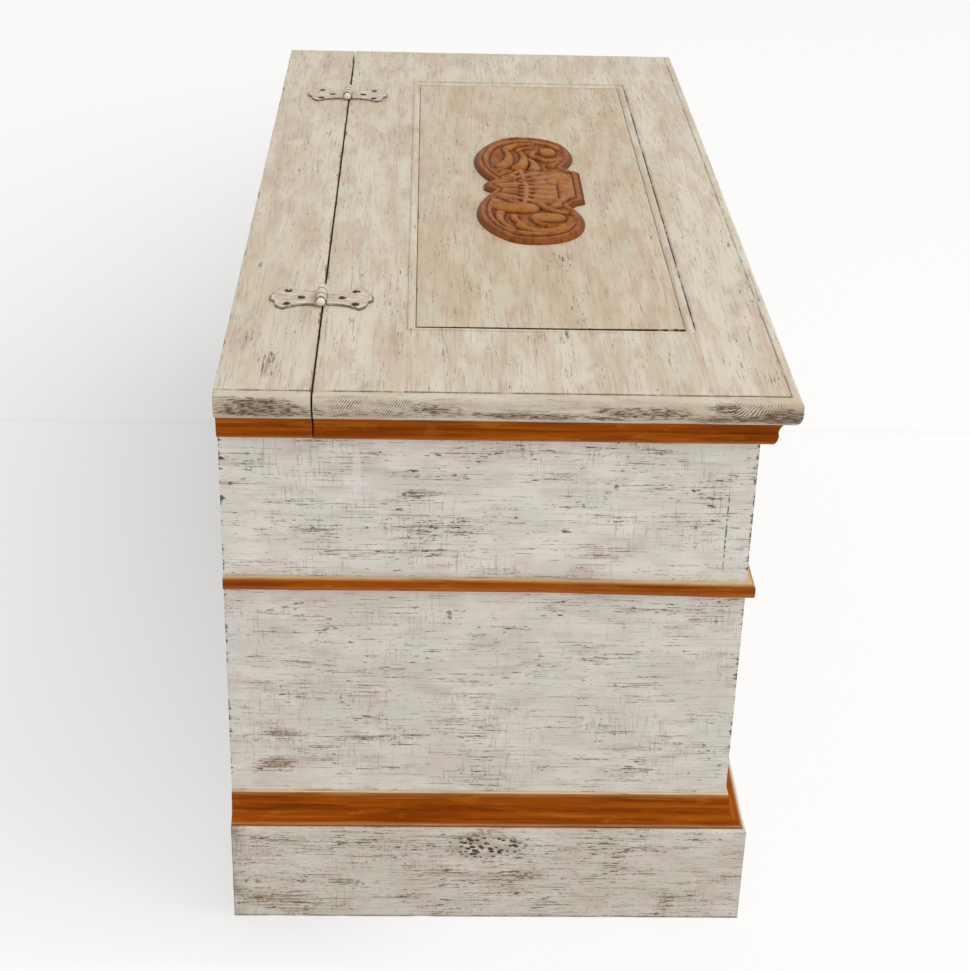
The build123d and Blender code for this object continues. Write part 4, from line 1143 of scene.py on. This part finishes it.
def hingeLeaf(name, body, node, middleX, axisY, way, seed):
    # plate: half width as a function of the reach, thinned to a soft arris, dished round each screw
    look = hingeShape
    thick, (neckBow, earBow, tipBow) = look["thick"], look["bows"]
    outline = np.concatenate([
        [(look["clear"], look["waist"])],
        arcPoints((look["waistEnd"], look["waist"]), look["wide"], neckBow, 14),
        arcPoints(look["wide"], look["shoulder"], earBow, 12)[1:],
        arcPoints(look["notch"], (look["reach"], 0), tipBow, 14)])
    rs = np.unique(np.concatenate([np.arange(look["clear"], look["reach"], look["step"]),
                                   [41.2, 41.5, 41.9, 45.4, 46.1, 46.4, look["reach"]]]))
    ws = np.linspace(-1, 1, int(2 * look["wide"][1] / look["step"]))
    grid, quads, _ = blockSkin(rs, ws, np.array([0.0, 0.8, 1.4, 1.75, thick]))
    half = np.interp(grid[:, 0], outline[:, 0], outline[:, 1])
    inset = np.interp(grid[:, 2], [0, 1.4, 1.75, thick], [0, 0, 0.18, 0.55])
    reach = grid[:, 0] - inset * stepUp(grid[:, 0], 40, 46)
    across = grid[:, 1] * np.maximum(half - inset, 0)
    onTop = grid[:, 2] == thick
    toScrew = np.min([np.hypot(reach - at, across - aside) for at, aside in look["screws"]], axis=0)
    dish = np.clip((look["dish"] - toScrew) * look["dishSlope"], 0, look["dishDeep"])
    rise = np.where(onTop, thick - dish, grid[:, 2])
    plan = np.stack([reach, across, 0 * reach], 1) * mm
    rise = rise - look["wave"] * (1 + waves(plan, look["waveSize"], seed)) / 2 * onTop
    points = np.stack([middleX + across * mm, axisY + way * reach * mm, zTop + rise * mm], 1)
    toRim = np.minimum(half - np.abs(across), look["reach"] - reach)
    glazeAndShade = (0.7 + 0.5 * stepUp(reach, 22, 30)) * (1 - stepUp(toRim, 0.7, 2.3))
    # on the side walls, glaze with painted contact shade, darker towards the wood
    glazeAndShade = np.where(onTop, glazeAndShade, 1.0 - 0.5 * grid[:, 2] / 2)
    glazeAndShade = np.maximum(glazeAndShade, onTop * (1 - stepUp(toScrew, 3.2, 4.0)) * 0.5)
    wear = np.where(onTop, stepUp(toRim, 1.6, 2.4) * (1 - stepUp(toRim, 2.4, 4.2)), 0.0)
    parts = [(points, quads, hingeValues(points, glazeAndShade, wear))]

    # knuckles, with painted shade underneath and at their joints, each with a tail that runs into the plate
    inner = look["middle"] / 2
    spans = [(-look["halfLength"], -inner - look["gap"]), (inner + look["gap"], look["halfLength"])]
    if body == "lid":
        spans = [(-inner, inner)]
    for start, end in spans:
        radius, bend = look["barrel"], 0.5
        profile = [(start, look["bore"]), (start, radius - bend), (start + 0.15, radius - 0.15),
                   (start + bend, radius), *((x, radius) for x in np.linspace(start + 1.5, end - 1.5, 4)),
                   (end - bend, radius), (end - 0.15, radius - 0.15), (end, radius - bend),
                   (end, look["bore"]), (start, look["bore"])]
        tube, tubeQuads = turned(profile, np.array([middleX, axisY, zTop + look["lift"] * mm]))
        shade = np.clip(1 - (tube[:, 2] - zTop) / (3.0 * mm), 0, 1)
        toJoint = np.min([np.abs(tube[:, 0] - middleX - x * mm) for x in (start, end)], axis=0)
        shade = np.maximum(shade, 1.1 * np.clip(1.2 - toJoint / mm, 0, 1))
        parts.append((tube, tubeQuads, hingeValues(tube, shade, 0.4 + 0 * shade)))
        ends = sorted((axisY + way * 0.5 * mm, axisY + way * (look["clear"] + 1.2) * mm))
        tail, tailQuads = roundedBox((middleX + start * mm, ends[0], zTop),
                                     (middleX + end * mm, ends[1], zTop + 1.95 * mm), 3 * mm, 0.3 * mm)[:2]
        parts.append((tail, tailQuads, hingeValues(tail, 0.3 + 0 * tail[:, 0], 0 * tail[:, 0])))
    makePiece(name, *joinParts(parts), body, node, "hinge")


def hingePin(name, node, middleX, axisY):
    # pin and ball tips as one turned piece
    look = hingeShape
    turn = np.linspace(0, math.pi, 15)
    ballAt = look["halfLength"] + look["neckLength"] + look["ball"] - 0.6
    ball = np.stack([ballAt - look["ball"] * np.cos(turn), look["ball"] * np.sin(turn)], 1)
    ball = ball[ball[:, 1] > look["pin"] * (ball[:, 0] < ballAt)]
    half = [(0, look["pin"]), (ball[0, 0], look["pin"]), *ball, (ballAt + look["ball"], 0)]
    profile = [(-x, r) for x, r in half[::-1]] + half[1:]
    points, quads = turned(profile, np.array([middleX, axisY, zTop + look["lift"] * mm]))
    off = np.abs(points[:, 0] - middleX) / mm
    # painted shade on the pin: its underside near the plate, and where it meets the knuckles
    low = np.clip((zTop + 3.0 * mm - points[:, 2]) / (2.5 * mm), 0, 1)
    glazeAndShade = np.maximum((off < look["halfLength"] + 1.6) * 0.9, low * 0.8)
    values = hingeValues(points, glazeAndShade, 1.2 * (off > ballAt - 2))
    makePiece(name, points, quads, values, "chest", node, "hinge")


for side, label in (("left", "near"), ("right", "far")):
    pinLow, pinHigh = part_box(f"{side}_hinge_pin")
    middleX, axisY = (pinLow[0] + pinHigh[0]) / 2, (pinLow[1] + pinHigh[1]) / 2
    hingeLeaf(f"{label}HingeRailLeaf", "chest", f"{side}_hinge_rail_leaf", middleX, axisY, 1, 5)
    hingeLeaf(f"{label}HingeLidLeaf", "lid", f"{side}_hinge_lid_leaf", middleX, axisY, -1, 6)
    hingePin(f"{label}HingePin", f"{side}_hinge_pin", middleX, axisY)
print("hinges made")


# the screws keep their own nodes and only take a finish
for node in ("rail_hinge_screws", "lid_hinge_screws"):
    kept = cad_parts[node]
    kept.data.materials.clear()
    kept.data.materials.append(finishes["screw"][0])


studio = {"world": 0.75, "key": 42.0, "keySize": 2.4, "keyPlace": (-1.2, -2.2, 3.2),
          "keyAim": (0.0, 0.0, 0.3), "floor": 9.0}  # strengths, and metres


def makeWorld(strength):
    # even white light, and plain white wherever the camera, a mirror or glass looks past the floor
    world = bpy.data.worlds.new("studio")
    bpy.context.scene.world = world
    world.use_nodes = True
    tree = world.node_tree
    tree.nodes.clear()
    light = put(tree, "Background", {"Color": colour("#FFFDFA"), "Strength": strength})
    white = put(tree, "Background", {"Color": (1.0, 1.0, 1.0, 1.0), "Strength": 1.0})
    both = put(tree, "MixShader", {0: seenDirectly(tree), 1: light, 2: white})
    put(tree, "OutputWorld", {0: both})


# Backdrop light: white, with a painted shadow that greys it on the back side of the chest, and a faint
# painted shade along a crease across it.
backdrop = {"share": 0.7, "white": 1.05, "shadowGrey": 0.44, "start": -0.58, "full": 1.1, "fade": (2.6, 0.3),
            "edge": 0.24, "side": 0.331, "fall": 0.38, "crease": 0.545, "creaseWidth": 0.012,
            "creaseGrey": 0.035}


def makeFloor(size):
    # white paper: seen directly, it is mostly its own painted light, so that it stays even
    look = backdrop
    mesh = bpy.data.meshes.new("floor")
    half = size / 2
    mesh.from_pydata([(-half, -half, 0), (half, -half, 0), (half, half, 0), (-half, half, 0)],
                     [], [(0, 1, 2, 3)])
    material, tree = newMaterial("white_paper")
    place = put(tree, "SeparateXYZ", {0: put(tree, "TexCoord", pick=3)}).node
    x, y = place.outputs[0], place.outputs[1]
    # painted shadow beside the chest: strength x root of the way in from the near side x far fade x
    # exponential fall sideways
    way = put(tree, "MapRange", {0: x, 1: look["start"], 2: look["start"] + look["full"]})
    near = put(tree, "Math", {0: way, 1: 0.5}, operation="POWER")
    fall = addUp(tree, look["side"] / look["fall"], (y, -1 / look["fall"]))
    fall = put(tree, "Math", {0: fall}, operation="EXPONENT")
    shadowGrey = layer(tree, near, (x, *look["fade"]), fall, (y, 0.0, look["edge"]))
    # a thin painted line of shade across the floor, as at a crease
    off = put(tree, "Math", {0: addUp(tree, -look["crease"], (x, 1.0))}, operation="ABSOLUTE")
    crease = layer(tree, (off, look["creaseWidth"], 0.0))
    level = addUp(tree, look["white"], (shadowGrey, -look["shadowGrey"]), (crease, -look["creaseGrey"]))
    lit = put(tree, "BsdfDiffuse", {"Color": colour("#F4F4F4")})
    glow = put(tree, "Emission", {"Color": (1.0, 1.0, 1.0, 1.0), "Strength": level})
    both = put(tree, "MixShader", {0: look["share"], 1: lit, 2: glow})
    surface = put(tree, "MixShader", {0: seenDirectly(tree), 1: lit, 2: both})
    put(tree, "OutputMaterial", {0: surface})
    mesh.materials.append(material)
    floor = addObject("floor", mesh)


def makeLamp(name, place, size, power, aim):
    # round lamp turned from pointing down to pointing at its aim
    data = bpy.data.lights.new(name, "AREA")
    data.shape, data.size, data.energy = "DISK", size, power
    lamp = addObject(name, data)
    lamp.location = place
    way = np.array(aim) - np.array(place)
    tilt = math.atan2(math.hypot(way[0], way[1]), -way[2])
    lamp.rotation_euler = (Matrix.Rotation(math.atan2(way[1], way[0]) - math.pi / 2, 3, "Z")
                           @ Matrix.Rotation(tilt, 3, "X")).to_euler()


makeWorld(studio["world"])
makeFloor(studio["floor"])
makeLamp("key", studio["keyPlace"], studio["keySize"], studio["key"], studio["keyAim"])
print("studio made")
